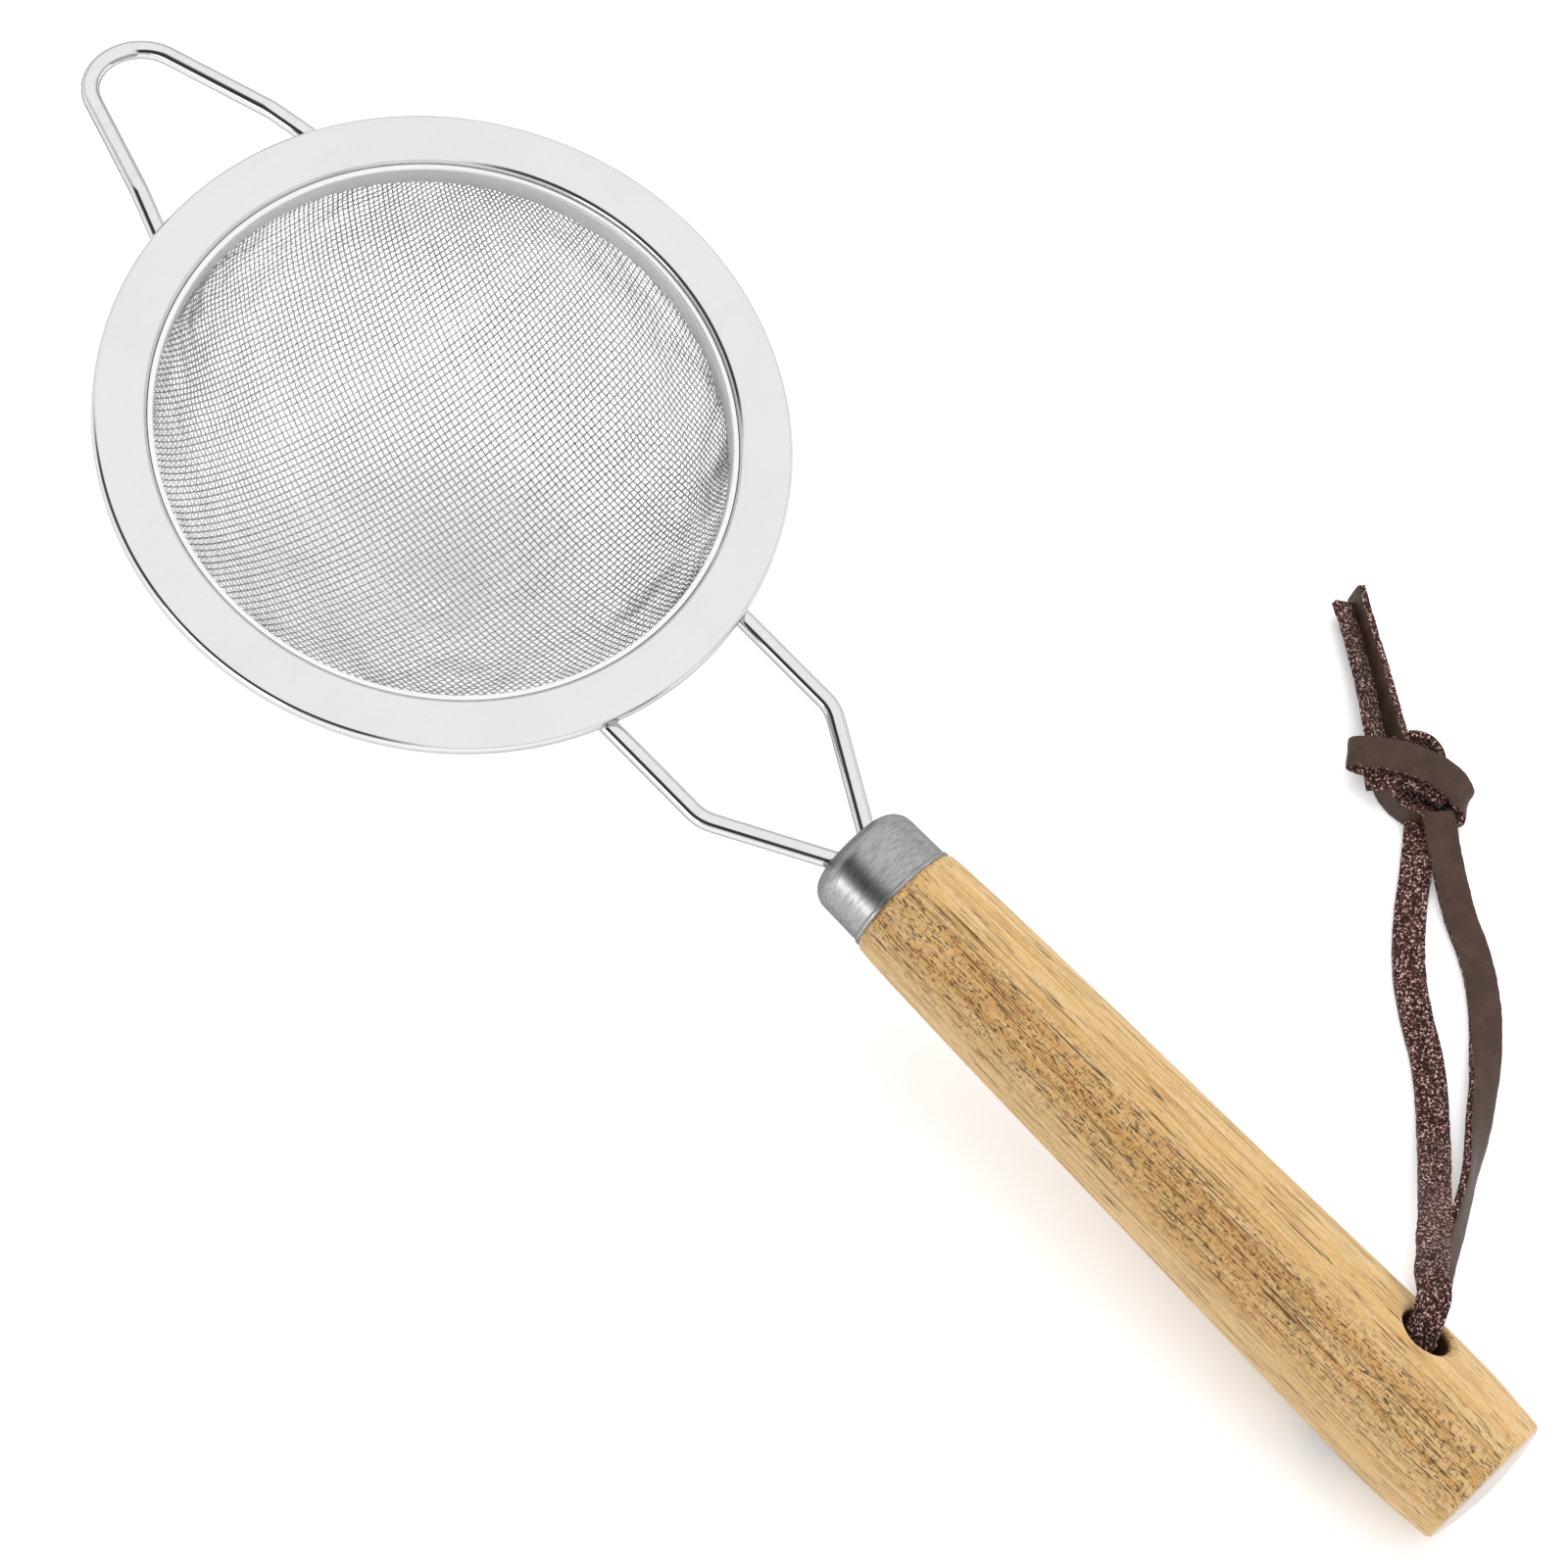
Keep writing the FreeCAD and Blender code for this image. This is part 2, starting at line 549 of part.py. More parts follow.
def lay_down(parts, bowl, grip):
    """Tilt the strainer until bowl and grip end touch the ground, and centre it over the origin."""
    level, steep = 0.0, 30.0
    while steep - level > 1e-4:
        tilt = (level + steep) / 2
        turn = Placement(Vector(), Rotation(ACROSS, tilt))
        if lowest(bowl.Shape.transformed(turn.Matrix)) < lowest(grip.Shape.transformed(turn.Matrix)):
            level = tilt
        else:
            steep = tilt
    turn = Placement(Vector(), Rotation(ACROSS, steep))
    boxes = [part.Shape.transformed(turn.Matrix).optimalBoundingBox(False) for part in parts]
    middle = (min(box.XMin for box in boxes) + max(box.XMax for box in boxes)) / 2
    ground = min(box.ZMin for box in boxes)
    pose = Placement(Vector(-middle, 0, -ground), turn.Rotation)
    for part in parts:
        part.Placement = pose * part.Placement
    print(f"rest pose: tilt {steep:.4f} degrees, moved {-middle:.3f} along X and {-ground:.3f} up")
    return pose


def check_and_export(parts):
    doc.recompute()
    for item in doc.Objects:
        if {"Invalid", "Error"} & set(item.State):
            raise RuntimeError(f"{item.Name} failed: {item.State}")
    os.makedirs("parts", exist_ok=True)
    for part in parts:
        if part.Shape.isNull() or not part.Shape.isValid():
            raise RuntimeError(f"{part.Label} has no valid shape")
        part.Shape.exportStep(f"parts/{part.Label}.step")
        print(f"{part.Label}: {part.Shape.Volume:.1f} mm3, {len(part.Shape.Faces)} faces")


def main():
    bowl = make_mesh_bowl()
    grip = make_grip()
    drill_hanging_hole(grip)
    ferrule = make_ferrule()
    ferrule.Placement = handle_frame()
    grip.Placement = handle_frame()
    parts = [make_rim_flange(), make_clamp_band(), bowl, make_front_rest(),
             make_yoke_wire("yoke_wire_left", 1), make_yoke_wire("yoke_wire_right", -1),
             ferrule, grip]
    doc.recompute()
    pose = lay_down(parts, bowl, grip)
    bore_run = make_bore_run()
    bore_run.Placement = pose * handle_frame()
    parts += [bore_run, make_strand("lace_strand_left", LEFT_STRAND),
              make_strand("lace_strand_right", RIGHT_STRAND), make_knot(),
              make_tail("lace_tail_left", size["tail_aside"], size["tail_level"]),
              make_tail("lace_tail_right", -size["tail_aside"], size["floor_gap"])]
    check_and_export(parts)


main()
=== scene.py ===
"""Tea strainer with a woven wire bowl, a wooden handle and a leather lace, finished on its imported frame."""

import json
import math

import bmesh
import bpy
from bpy.props import FloatProperty, FloatVectorProperty, PointerProperty
from mathutils import Matrix, Vector, noise


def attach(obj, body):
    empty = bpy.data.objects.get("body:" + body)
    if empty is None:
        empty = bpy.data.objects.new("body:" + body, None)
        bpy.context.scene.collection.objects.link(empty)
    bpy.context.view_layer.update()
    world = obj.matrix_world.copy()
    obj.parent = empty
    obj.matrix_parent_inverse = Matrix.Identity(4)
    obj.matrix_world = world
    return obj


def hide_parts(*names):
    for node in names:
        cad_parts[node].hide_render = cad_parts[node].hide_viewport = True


bl_info = {
    "name": "Tea strainer",
    "version": (1, 0, 0),
    "blender": (4, 5, 0),
    "location": "View3D > Sidebar > Strainer",
    "description": "Builds a hand tea strainer: woven bowl, rim, wires, ferrule, wooden grip and lace",
    "category": "Object",
}

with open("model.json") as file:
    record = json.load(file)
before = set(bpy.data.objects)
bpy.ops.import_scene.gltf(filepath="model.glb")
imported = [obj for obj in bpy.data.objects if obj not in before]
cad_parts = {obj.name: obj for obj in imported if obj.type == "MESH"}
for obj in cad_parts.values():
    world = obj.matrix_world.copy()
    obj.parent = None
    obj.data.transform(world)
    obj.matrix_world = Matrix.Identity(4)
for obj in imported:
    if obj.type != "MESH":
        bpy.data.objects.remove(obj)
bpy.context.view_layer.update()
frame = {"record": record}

MM = 0.001
BODY = "root"

# The hanging hole, in the handle's frame: its place along the grip in millimetres, its slant from
# level and its direction.
BORE_PLACE = 123.0
BORE_SLANT = math.radians(57.0)
BORE_LINE = Vector((0.0, math.cos(BORE_SLANT), math.sin(BORE_SLANT)))

# The grip's dark heart, in the handle's frame: the direction across its slab, over Y and Z, and how
# far its middle lies from the grip's, in metres.
HEART_SLANT = (0.909, 0.417)
HEART_OFFSET = 0.0012

# The lace's strands, from the hanging hole to the knot.
LEFT_STRAND = [
    (0.10936, 0.00324, 0.01696), (0.10996, 0.00605, 0.02128), (0.1078, 0.0106, 0.0222),
    (0.1038, 0.0149, 0.0183), (0.0990, 0.0214, 0.0112), (0.0940, 0.0289, 0.0052),
    (0.0884, 0.0361, 0.0023), (0.0820, 0.0426, 0.00212), (0.0762, 0.0466, 0.00212),
    (0.0711, 0.0509, 0.00212), (0.0662, 0.0567, 0.00212), (0.0618, 0.0632, 0.00212),
    (0.0576, 0.0688, 0.00212),
]
RIGHT_STRAND = [
    (0.1070, 0.0083, 0.00212), (0.1056, 0.0143, 0.00212), (0.1026, 0.0215, 0.00212),
    (0.0982, 0.0306, 0.00212), (0.0910, 0.0424, 0.00212), (0.0842, 0.0516, 0.00212),
    (0.0774, 0.0580, 0.00212), (0.0700, 0.0620, 0.00212), (0.0640, 0.0662, 0.0028),
    (0.0588, 0.0704, 0.0034),
]
# How the flat lace lies, at even steps along each strand: its turn about its own line in degrees,
# 0 with the smooth side up, and how far it lies under the line and to its right, in millimetres.
LEFT_LAY = [(180, 0, 0), (182, 0, -0.9), (186, 0, -1.5), (186, 0, -0.6), (184, 0, 0), (182, 0.6, 0),
            (180, 1.3, 0), (178, 1.35, 0), (180, 1.35, 0), (182, 1.35, 0), (180, 1.35, 0),
            (178, 1.35, 0), (176, 1.35, 0)]
RIGHT_LAY = [(4, 0.9, 0), (30, 0.6, 0), (62, 0.2, 0), (70, 0.0, 0), (40, 0.5, 0), (10, 1.1, 0),
             (0, 1.3, 0), (-4, 1.0, 0), (-3, 0.5, 0), (0, 0.4, 0)]

# The least height of the lace's underside where it lies on the ground, in millimetres.
LYING = 0.02

# Makes the lace's rough edges the same each time. With no seed they follow the clock.
FRAY_SEED = 1

# The knot's ribbons, each a list of its two edges' places: x across the strands and y along them
# from the knot's middle, z from the ground, in millimetres.
KNOT_PLACE = Vector((52.8, 71.9, 0.0)) * MM
KNOT_TURN = math.radians(45.0)
KNOT_BAND = [
    ((-2.6, 3.6, 3.3), (-3.4, -0.6, 3.0)), ((-6.2, 4.5, 3.7), (-7.0, 0.3, 3.2)),
    ((-7.7, 4.8, 4.4), (-8.3, 0.6, 3.8)), ((-6.6, 4.8, 5.2), (-7.3, 0.6, 4.5)),
    ((-3.8, 4.5, 5.5), (-4.3, 0.2, 4.6)), ((-1.2, 3.9, 5.6), (-1.8, -0.3, 4.7)),
    ((1.9, 2.9, 5.6), (0.8, -1.3, 4.7)), ((4.6, 1.5, 5.2), (3.2, -2.5, 4.4)),
    ((6.3, -0.2, 4.6), (5.0, -3.9, 3.9)), ((7.1, -1.9, 3.5), (6.2, -5.2, 2.7)),
    ((6.7, -2.4, 1.7), (5.9, -6.1, 1.5)), ((4.6, -1.6, 0.8), (4.0, -5.7, 0.8)),
    ((1.4, -0.6, 0.75), (0.8, -4.7, 0.75)), ((-2.0, 1.2, 0.75), (-2.8, -2.9, 0.75)),
]
KNOT_PLY = [
    ((-6.5, 2.2, 3.1), (-6.0, -1.9, 2.8)), ((-3.6, 2.4, 3.2), (-3.5, -1.7, 2.9)),
    ((0.0, 2.2, 3.3), (0.2, -1.9, 2.9)), ((2.9, 1.0, 3.2), (2.6, -2.9, 2.8)),
    ((5.3, -1.2, 2.9), (4.5, -4.6, 2.5)),
]
KNOT_LOWER_LOOP = [
    ((2.2, -5.2, 0.3), (2.4, -5.6, 3.0)), ((0.3, -5.5, 0.2), (0.6, -5.0, 2.9)),
    ((-1.5, -4.6, 0.2), (-1.0, -4.2, 3.0)), ((-3.1, -2.9, 0.2), (-2.5, -2.7, 3.0)),
    ((-4.1, -0.8, 0.2), (-3.5, -0.7, 2.9)), ((-4.2, 1.4, 0.2), (-3.6, 1.4, 2.8)),
]
KNOT_UPPER_LOOP = [
    ((-2.2, 6.1, 0.3), (-2.0, 5.4, 4.0)), ((-0.2, 6.9, 0.2), (-0.3, 6.1, 4.2)),
    ((1.7, 7.0, 0.2), (1.5, 6.2, 4.2)), ((3.3, 6.0, 0.2), (3.0, 5.4, 4.2)),
    ((4.4, 4.3, 0.2), (4.0, 3.9, 4.1)), ((4.6, 2.2, 0.3), (4.2, 2.0, 4.0)),
]
LEFT_TAIL = [
    ((-5.6, 4.2, 3.6), (-2.4, 4.4, 1.0)), ((-5.8, 8.0, 3.6), (-2.8, 8.4, 0.8)),
    ((-6.5, 15.4, 3.4), (-3.5, 16.0, 0.8)), ((-7.5, 22.9, 3.0), (-4.7, 22.5, 0.9)),
    ((-8.4, 27.0, 2.8), (-5.6, 27.6, 1.0)),
]
RIGHT_TAIL = [
    ((-2.2, 4.2, 0.8), (-0.3, 4.0, 4.5)), ((-2.6, 8.0, 0.8), (-1.1, 7.6, 4.6)),
    ((-3.7, 16.0, 0.8), (-2.6, 15.6, 4.6)), ((-4.9, 23.0, 0.8), (-4.1, 23.0, 4.5)),
    ((-5.9, 28.4, 1.0), (-5.2, 28.9, 4.4)),
]


# ---------------------------------------------------------------- user's settings


def length(name, description, default, **limits):
    """A length property whose default is given in millimetres."""
    return FloatProperty(name=name, description=description, default=default * MM, unit="LENGTH",
                         precision=5, **limits)


def colour(name, description, default):
    """A linear colour property."""
    return FloatVectorProperty(name=name, description=description, default=default, subtype="COLOR",
                               size=3, min=0.0, max=1.0)


class StrainerMetalSettings(bpy.types.PropertyGroup):
    """Sizes and colours of the rim, the cloth, the wires and the ferrule."""

    pitch_along: length("Pitch along", "Spacing of the cloth wires that run along the strainer", 0.78)
    pitch_across: length("Pitch across", "Spacing of the cloth wires that run across the strainer", 0.93)
    cloth_wire: length("Cloth wire", "Diameter of the cloth's wires", 0.22)
    cloth_turn: FloatProperty(name="Cloth turn", description="Turn of the weave in the rim",
                              default=math.radians(-8.7), subtype="ANGLE")
    dents: length("Dents", "Depth of the pressed cloth's unevenness", 1.2)
    wire: length("Wire", "Diameter of the yoke and rest wires", 2.4)
    steel: colour("Steel", "Colour of the rim and wires", (0.66, 0.66, 0.665))
    ferrule_steel: colour("Ferrule steel", "Colour of the satin ferrule", (0.38, 0.38, 0.384))
    cloth_steel: colour("Cloth steel", "Colour of the cloth's wires", (0.60, 0.60, 0.605))


class StrainerHandleSettings(bpy.types.PropertyGroup):
    """Colours of the grip and the lace, and the lace's section."""

    wood: colour("Wood", "The grip's main colour", (0.56, 0.355, 0.138))
    pale_wood: colour("Pale wood", "The grip's palest streaks", (0.60, 0.415, 0.200))
    heart_wood: colour("Heart wood", "The grip's darkest streaks", (0.42, 0.215, 0.062))
    pore: colour("Pores", "The grip's open pores", (0.022, 0.009, 0.004))
    # Painted shade: this colour darkens the inside of the hanging hole, where shade falls.
    painted_bore_shade: colour("Bore", "The wood inside the hanging hole", (0.050, 0.024, 0.012))
    # Painted highlight: the end face is painted pale as if lit, not the wood's own tone.
    end_wood_painted_light: colour("End grain", "The grip's end face", (0.57, 0.53, 0.49))
    smooth_leather: colour("Smooth leather", "The lace's finished side", (0.046, 0.0255, 0.0178))
    suede: colour("Suede", "The lace's rough side", (0.10, 0.045, 0.040))
    suede_light: colour("Suede fibres", "Light fibres on the rough side", (0.66, 0.46, 0.425))
    lace_width: length("Lace width", "Width of the lace", 4.2)
    lace_gauge: length("Lace gauge", "Thickness of the lace", 1.4)


class StrainerStageSettings(bpy.types.PropertyGroup):
    """Camera and floor."""

    target: FloatVectorProperty(name="Target", description="The point that the camera looks at",
                                default=(0.00569, -0.00142, 0.02901), subtype="XYZ", unit="LENGTH")
    distance: length("Distance", "Camera distance from that point", 680.0)
    azimuth: FloatProperty(name="Azimuth", description="Direction of the camera from +X",
                           default=math.radians(-52.6), subtype="ANGLE")
    elevation: FloatProperty(name="Elevation", description="Height of the camera above the horizon",
                             default=math.radians(60.0), subtype="ANGLE")
    roll: FloatProperty(name="Roll", description="Turn of the camera about its own view",
                        default=math.radians(8.2), subtype="ANGLE")
    lens: FloatProperty(name="Lens", description="Focal length on a 36 mm sensor, in millimetres",
                        default=124.6)
    floor: colour("Floor", "Floor colour", (0.90, 0.90, 0.90))


# ---------------------------------------------------------------- places


def rim_frame():
    """The rim's own frame: its origin on the rim's face, Z out of the bowl, X towards the handle."""
    mount = next(m for m in frame["record"]["mounts"] if m["name"] == "rim_top")
    place = Vector((mount["pos_m"][0], 0.0, mount["pos_m"][2]))
    tilt = math.atan2(mount["axis"][0], mount["axis"][2])
    return Matrix.Translation(place) @ Matrix.Rotation(tilt, 4, "Y")


def handle_frame():
    """The handle's frame: X along the grip, from the rim's edge."""
    rise = math.radians(1.5)
    return (rim_frame() @ Matrix.Translation(Vector((45.0, 0.0, -2.85)) * MM)
            @ Matrix.Rotation(-rise, 4, "Y"))


def lace_point(place):
    """A place in the knot's own axes, in millimetres, as a point of the frame."""
    turned = Matrix.Rotation(KNOT_TURN, 3, "Z") @ (Vector(place) * MM)
    return KNOT_PLACE + turned


# ---------------------------------------------------------------- node helpers


class Amount:
    """A node's output. Sums and products can be made of it where it is a number."""

    def __init__(self, nodes, socket):
        self.nodes, self.socket = nodes, socket

    def __add__(self, other):
        return self.nodes.calc("ADD", self, other)

    def __sub__(self, other):
        return self.nodes.calc("SUBTRACT", self, other)

    def __mul__(self, other):
        return self.nodes.calc("MULTIPLY", self, other)

    def __truediv__(self, other):
        return self.nodes.calc("DIVIDE", self, other)

    def __pow__(self, other):
        return self.nodes.calc("POWER", self, other)

    def __abs__(self):
        return self.nodes.calc("ABSOLUTE", self)


class Nodes:
    """Puts nodes into one tree."""

    def __init__(self, tree):
        self.tree = tree

    def feed(self, socket, value):
        """Links the socket to an amount or another socket, or sets it to a constant."""
        source = getattr(value, "socket", value)
        if isinstance(source, bpy.types.NodeSocket):
            self.tree.links.new(source, socket)
        else:
            socket.default_value = source

    def put(self, kind, feeds=(), **settings):
        """A new node with its settings made and its inputs, by name or place, fed."""
        node = self.tree.nodes.new(kind)
        for name, value in settings.items():
            setattr(node, name, value)
        for key, value in dict(feeds).items():
            self.feed(node.inputs[key], value)
        return node

    def amount(self, kind, feeds=(), **settings):
        """The first output of a new node, as an amount."""
        return Amount(self, self.put(kind, feeds, **settings).outputs[0])

    def calc(self, operation, *values):
        return self.amount("ShaderNodeMath", dict(enumerate(values)), operation=operation)

    def remap(self, value, low, high, new_low=0.0, new_high=1.0):
        """The value carried smoothly from one range to another."""
        feeds = {"Value": value, "From Min": low, "From Max": high, "To Min": new_low, "To Max": new_high}
        return self.amount("ShaderNodeMapRange", feeds, interpolation_type="SMOOTHSTEP")

    def noise(self, place, scale, detail=2.0, roughness=0.5, distortion=0.0):
        return self.amount("ShaderNodeTexNoise", {"Vector": place, "Scale": scale, "Detail": detail,
                                                  "Roughness": roughness, "Distortion": distortion})

    def place(self):
        """The shaded point in the object's own space."""
        return self.put("ShaderNodeTexCoord").outputs["Object"]

    def mapped(self, place, scale=(1.0, 1.0, 1.0), rotation=(0.0, 0.0, 0.0)):
        feeds = {"Vector": place, "Rotation": rotation, "Scale": scale}
        return self.put("ShaderNodeMapping", feeds).outputs[0]

    def vector(self, operation, *values):
        feeds = dict(enumerate(values))
        return self.put("ShaderNodeVectorMath", feeds, operation=operation).outputs[0]

    def point(self, **parts):
        """A point made of its X, Y and Z."""
        return self.put("ShaderNodeCombineXYZ", parts).outputs[0]

    def split(self, vector):
        """A vector's X, Y and Z as amounts."""
        return [Amount(self, part) for part in self.put("ShaderNodeSeparateXYZ", {0: vector}).outputs]

    def reach(self, **parts):
        """The length of the vector with these parts."""
        node = self.put("ShaderNodeVectorMath", {0: self.point(**parts)}, operation="LENGTH")
        return node.outputs["Value"]

    def blend(self, factor, first, second):
        """Two colours mixed by a factor."""
        feeds = {0: factor}
        for key, value in ((6, first), (7, second)):
            feeds[key] = value if isinstance(value, bpy.types.NodeSocket) else (*value, 1.0)
        return self.put("ShaderNodeMix", feeds, data_type="RGBA").outputs[2]

    def bump(self, shader, height, strength, distance):
        """Gives the shader a relief."""
        node = self.put("ShaderNodeBump", {"Height": height, "Strength": strength, "Distance": distance})
        self.feed(shader.inputs["Normal"], node.outputs[0])


def new_material(name, shader_values):
    """A material with one Principled shader, its constant values set; gives it, its nodes and the shader."""
    material = bpy.data.materials.new(name)
    material.use_nodes = True
    shader = material.node_tree.nodes["Principled BSDF"]
    for key, value in shader_values.items():
        shader.inputs[key].default_value = value
    return material, Nodes(material.node_tree), shader


def new_group(name, kind, inputs, outputs):
    """A node group with its sockets declared; gives it, its nodes, its inputs by name and its end."""
    tree = bpy.data.node_groups.new(name, kind)
    for title, socket_type, default in inputs:
        socket = tree.interface.new_socket(title, in_out="INPUT", socket_type=socket_type)
        if default is not None:
            socket.default_value = default
    for title, socket_type in outputs:
        tree.interface.new_socket(title, in_out="OUTPUT", socket_type=socket_type)
    nodes = Nodes(tree)
    given = {output.name: Amount(nodes, output) for output in tree.nodes.new("NodeGroupInput").outputs}
    return tree, nodes, given, tree.nodes.new("NodeGroupOutput")


# ---------------------------------------------------------------- shared finishes


def steel_wear_group():
    """Shader group: smudges, fine rubbing and fine short scratches on steel, as masks."""
    if "Steel wear" in bpy.data.node_groups:
        return bpy.data.node_groups["Steel wear"]
    tree, nodes, given, result = new_group(
        "Steel wear", "ShaderNodeTree",
        [("Rub scale", "NodeSocketFloat", 900.0), ("Rub stretch", "NodeSocketVector", (1.0, 0.1, 1.0))],
        [("Smudge", "NodeSocketFloat"), ("Rub", "NodeSocketFloat"), ("Scratch", "NodeSocketFloat")])
    place = nodes.place()
    smudge = nodes.noise(place, 55.0, 4.0, 0.55)
    rub = nodes.noise(nodes.vector("MULTIPLY", place, given["Rub stretch"]), given["Rub scale"], 3.0)
    lines = nodes.noise(nodes.mapped(place, (0.05, 1.0, 1.0), (0.0, 0.0, 0.9)), 700.0, 1.0)
    scratch = nodes.remap(lines, 0.66, 0.72) * nodes.remap(smudge, 0.52, 0.7)
    for name, mask in (("Smudge", smudge), ("Rub", rub), ("Scratch", scratch)):
        nodes.feed(result.inputs[name], mask)
    return tree


def steel_material(name, tint, roughness, rub, scratch=0.0, edge=0.4, marks=0.06,
                   rub_scale=900.0, rub_stretch=(1.0, 0.1, 1.0)):
    """Steel with smudged gloss, fine rubbing and a few short scratches, darker at glancing angles."""
    material, nodes, shader = new_material(name, {
        "Metallic": 1.0, "Specular IOR Level": 0.5, "Specular Tint": (edge, edge, edge, 1.0)})
    wear = nodes.put("ShaderNodeGroup", node_tree=steel_wear_group())
    nodes.feed(wear.inputs["Rub scale"], rub_scale)
    nodes.feed(wear.inputs["Rub stretch"], rub_stretch)
    smudge, rubbed, scratched = [Amount(nodes, mask) for mask in wear.outputs]
    smudged = [channel * 0.975 for channel in tint]
    rubbed_dark = [channel * 0.3 for channel in tint]
    base = nodes.blend(nodes.remap(smudge, 0.35, 0.65), smudged, tint)
    base = nodes.blend(nodes.remap(rubbed, 0.35, 0.75, 0.0, marks), base, rubbed_dark)
    nodes.feed(shader.inputs["Base Color"], base)
    gloss = nodes.remap(smudge, 0.3, 0.7, roughness * 0.85, roughness * 1.15)
    nodes.feed(shader.inputs["Roughness"], gloss + scratched * scratch)
    nodes.bump(shader, rubbed - scratched * (scratch * 4.0), rub, 0.00002)
    return material


def wood_material(settings):
    """Open-grained light wood: long figure, a heart streak and short dark pores along the grip."""
    material, nodes, shader = new_material(
        "Grip wood", {"Metallic": 0.0, "Specular IOR Level": 0.35, "Coat Weight": 0.0})
    remap = nodes.remap
    handle = handle_frame()
    centred = nodes.vector("SUBTRACT", nodes.place(), tuple(handle.translation))
    grain_place = nodes.mapped(centred, rotation=tuple(handle.inverted().to_euler()))
    along, aside, upward = nodes.split(grain_place)

    def streaks(stretch, scale, detail=2.0, roughness=0.5):
        return nodes.noise(nodes.mapped(grain_place, (stretch, 1.0, 1.0)), scale, detail, roughness)

    # The figure, and the darker heart: a slab along the grip, square to HEART_SLANT.
    figure = streaks(0.02, 900.0, 4.0, 0.6)
    wander = (streaks(0.05, 150.0) - 0.5) * 0.008
    slab = aside * HEART_SLANT[0] + upward * HEART_SLANT[1] + wander
    heart = remap(abs(slab + HEART_OFFSET), 0.0068, 0.0008)
    base = nodes.blend(remap(figure, 0.36, 0.64), settings.wood, settings.pale_wood)
    base = nodes.blend(heart * remap(figure, 0.66, 0.40, 0.15, 0.6), base, settings.heart_wood)
    fine = remap(streaks(0.012, 2400.0), 0.51, 0.62, 0.0, 0.5)
    base = nodes.blend(fine, base, settings.heart_wood)

    # Pores: long thin ones broken into dashes, short ones and flecks, most of them in the heart.
    open_grain = remap(streaks(0.03, 330.0), 0.38, 0.56, 0.5, 1.0)
    from_line = abs(streaks(0.009, 2800.0, 1.0) - 0.61)
    dashes = remap(streaks(0.06, 2600.0, 1.0), 0.43, 0.51)
    long_pores = remap(from_line, 0.046, 0.026, 0.0, 0.85) * dashes
    short_pores = remap(streaks(0.20, 4800.0, 1.0), 0.59, 0.62)
    flecks = nodes.noise(nodes.mapped(grain_place, (1.0, 0.35, 0.35)), 4300.0, 1.0)
    flecks = remap(flecks, 0.57, 0.64, 0.0, 0.4) * heart
    pores = nodes.calc("MAXIMUM", long_pores * open_grain, short_pores * remap(heart, 0.0, 1.0, 0.2, 0.8))
    dark = nodes.calc("MAXIMUM", pores, flecks)
    base = nodes.blend(dark, base, settings.pore)

    # Painted shade: the inside of the hanging hole is painted dark. Then the sawn end, painted pale as if
    # lit.
    off_line = aside * math.sin(BORE_SLANT) - upward * math.cos(BORE_SLANT)
    off_bore = remap(nodes.reach(X=along - BORE_PLACE * MM, Y=off_line), 0.0040, 0.0036)
    inside = off_bore * remap(nodes.reach(X=aside, Y=upward), 0.0100, 0.0090)
    # The hole's inside takes the painted shade colour.
    base = nodes.blend(inside, base, settings.painted_bore_shade)
    # The sawn end: real rings over a pale colour that is painted light.
    rings = nodes.noise(nodes.mapped(grain_place, (0.0, 0.25, 1.0), (0.43, 0.0, 0.0)), 1100.0, 3.0)
    end_grain_with_painted_light = nodes.blend(remap(rings, 0.45, 0.68, 0.0, 0.15), settings.end_wood_painted_light, settings.wood)
    base = nodes.blend(remap(along, 0.1403, 0.1410), base, end_grain_with_painted_light)
    nodes.feed(shader.inputs["Base Color"], base)
    nodes.feed(shader.inputs["Roughness"], remap(figure, 0.3, 0.7, 0.60, 0.46))
    nodes.bump(shader, figure * 0.25 - dark, 0.5, 0.00008)
    return material


def smooth_leather_material(settings):
    """The lace's finished side: dark brown with a fine grain and creases."""
    material, nodes, shader = new_material(
        "Smooth leather", {"Specular IOR Level": 0.22, "Sheen Weight": 0.0})
    place = nodes.place()
    grain = nodes.amount("ShaderNodeTexVoronoi", {"Vector": place, "Scale": 3500.0},
                         feature="DISTANCE_TO_EDGE")
    cloud = nodes.noise(place, 420.0, 4.0)
    crease = nodes.noise(place, 900.0, 2.0, distortion=1.2)
    lighter = [channel * 1.5 for channel in settings.smooth_leather]
    base = nodes.blend(nodes.remap(cloud, 0.35, 0.7), settings.smooth_leather, lighter)
    nodes.feed(shader.inputs["Base Color"], base)
    nodes.feed(shader.inputs["Roughness"], nodes.remap(cloud, 0.3, 0.7, 0.42, 0.56))
    nodes.bump(shader, nodes.remap(grain, 0.0, 0.12) + crease * 0.8, 0.35, 0.00004)
    return material


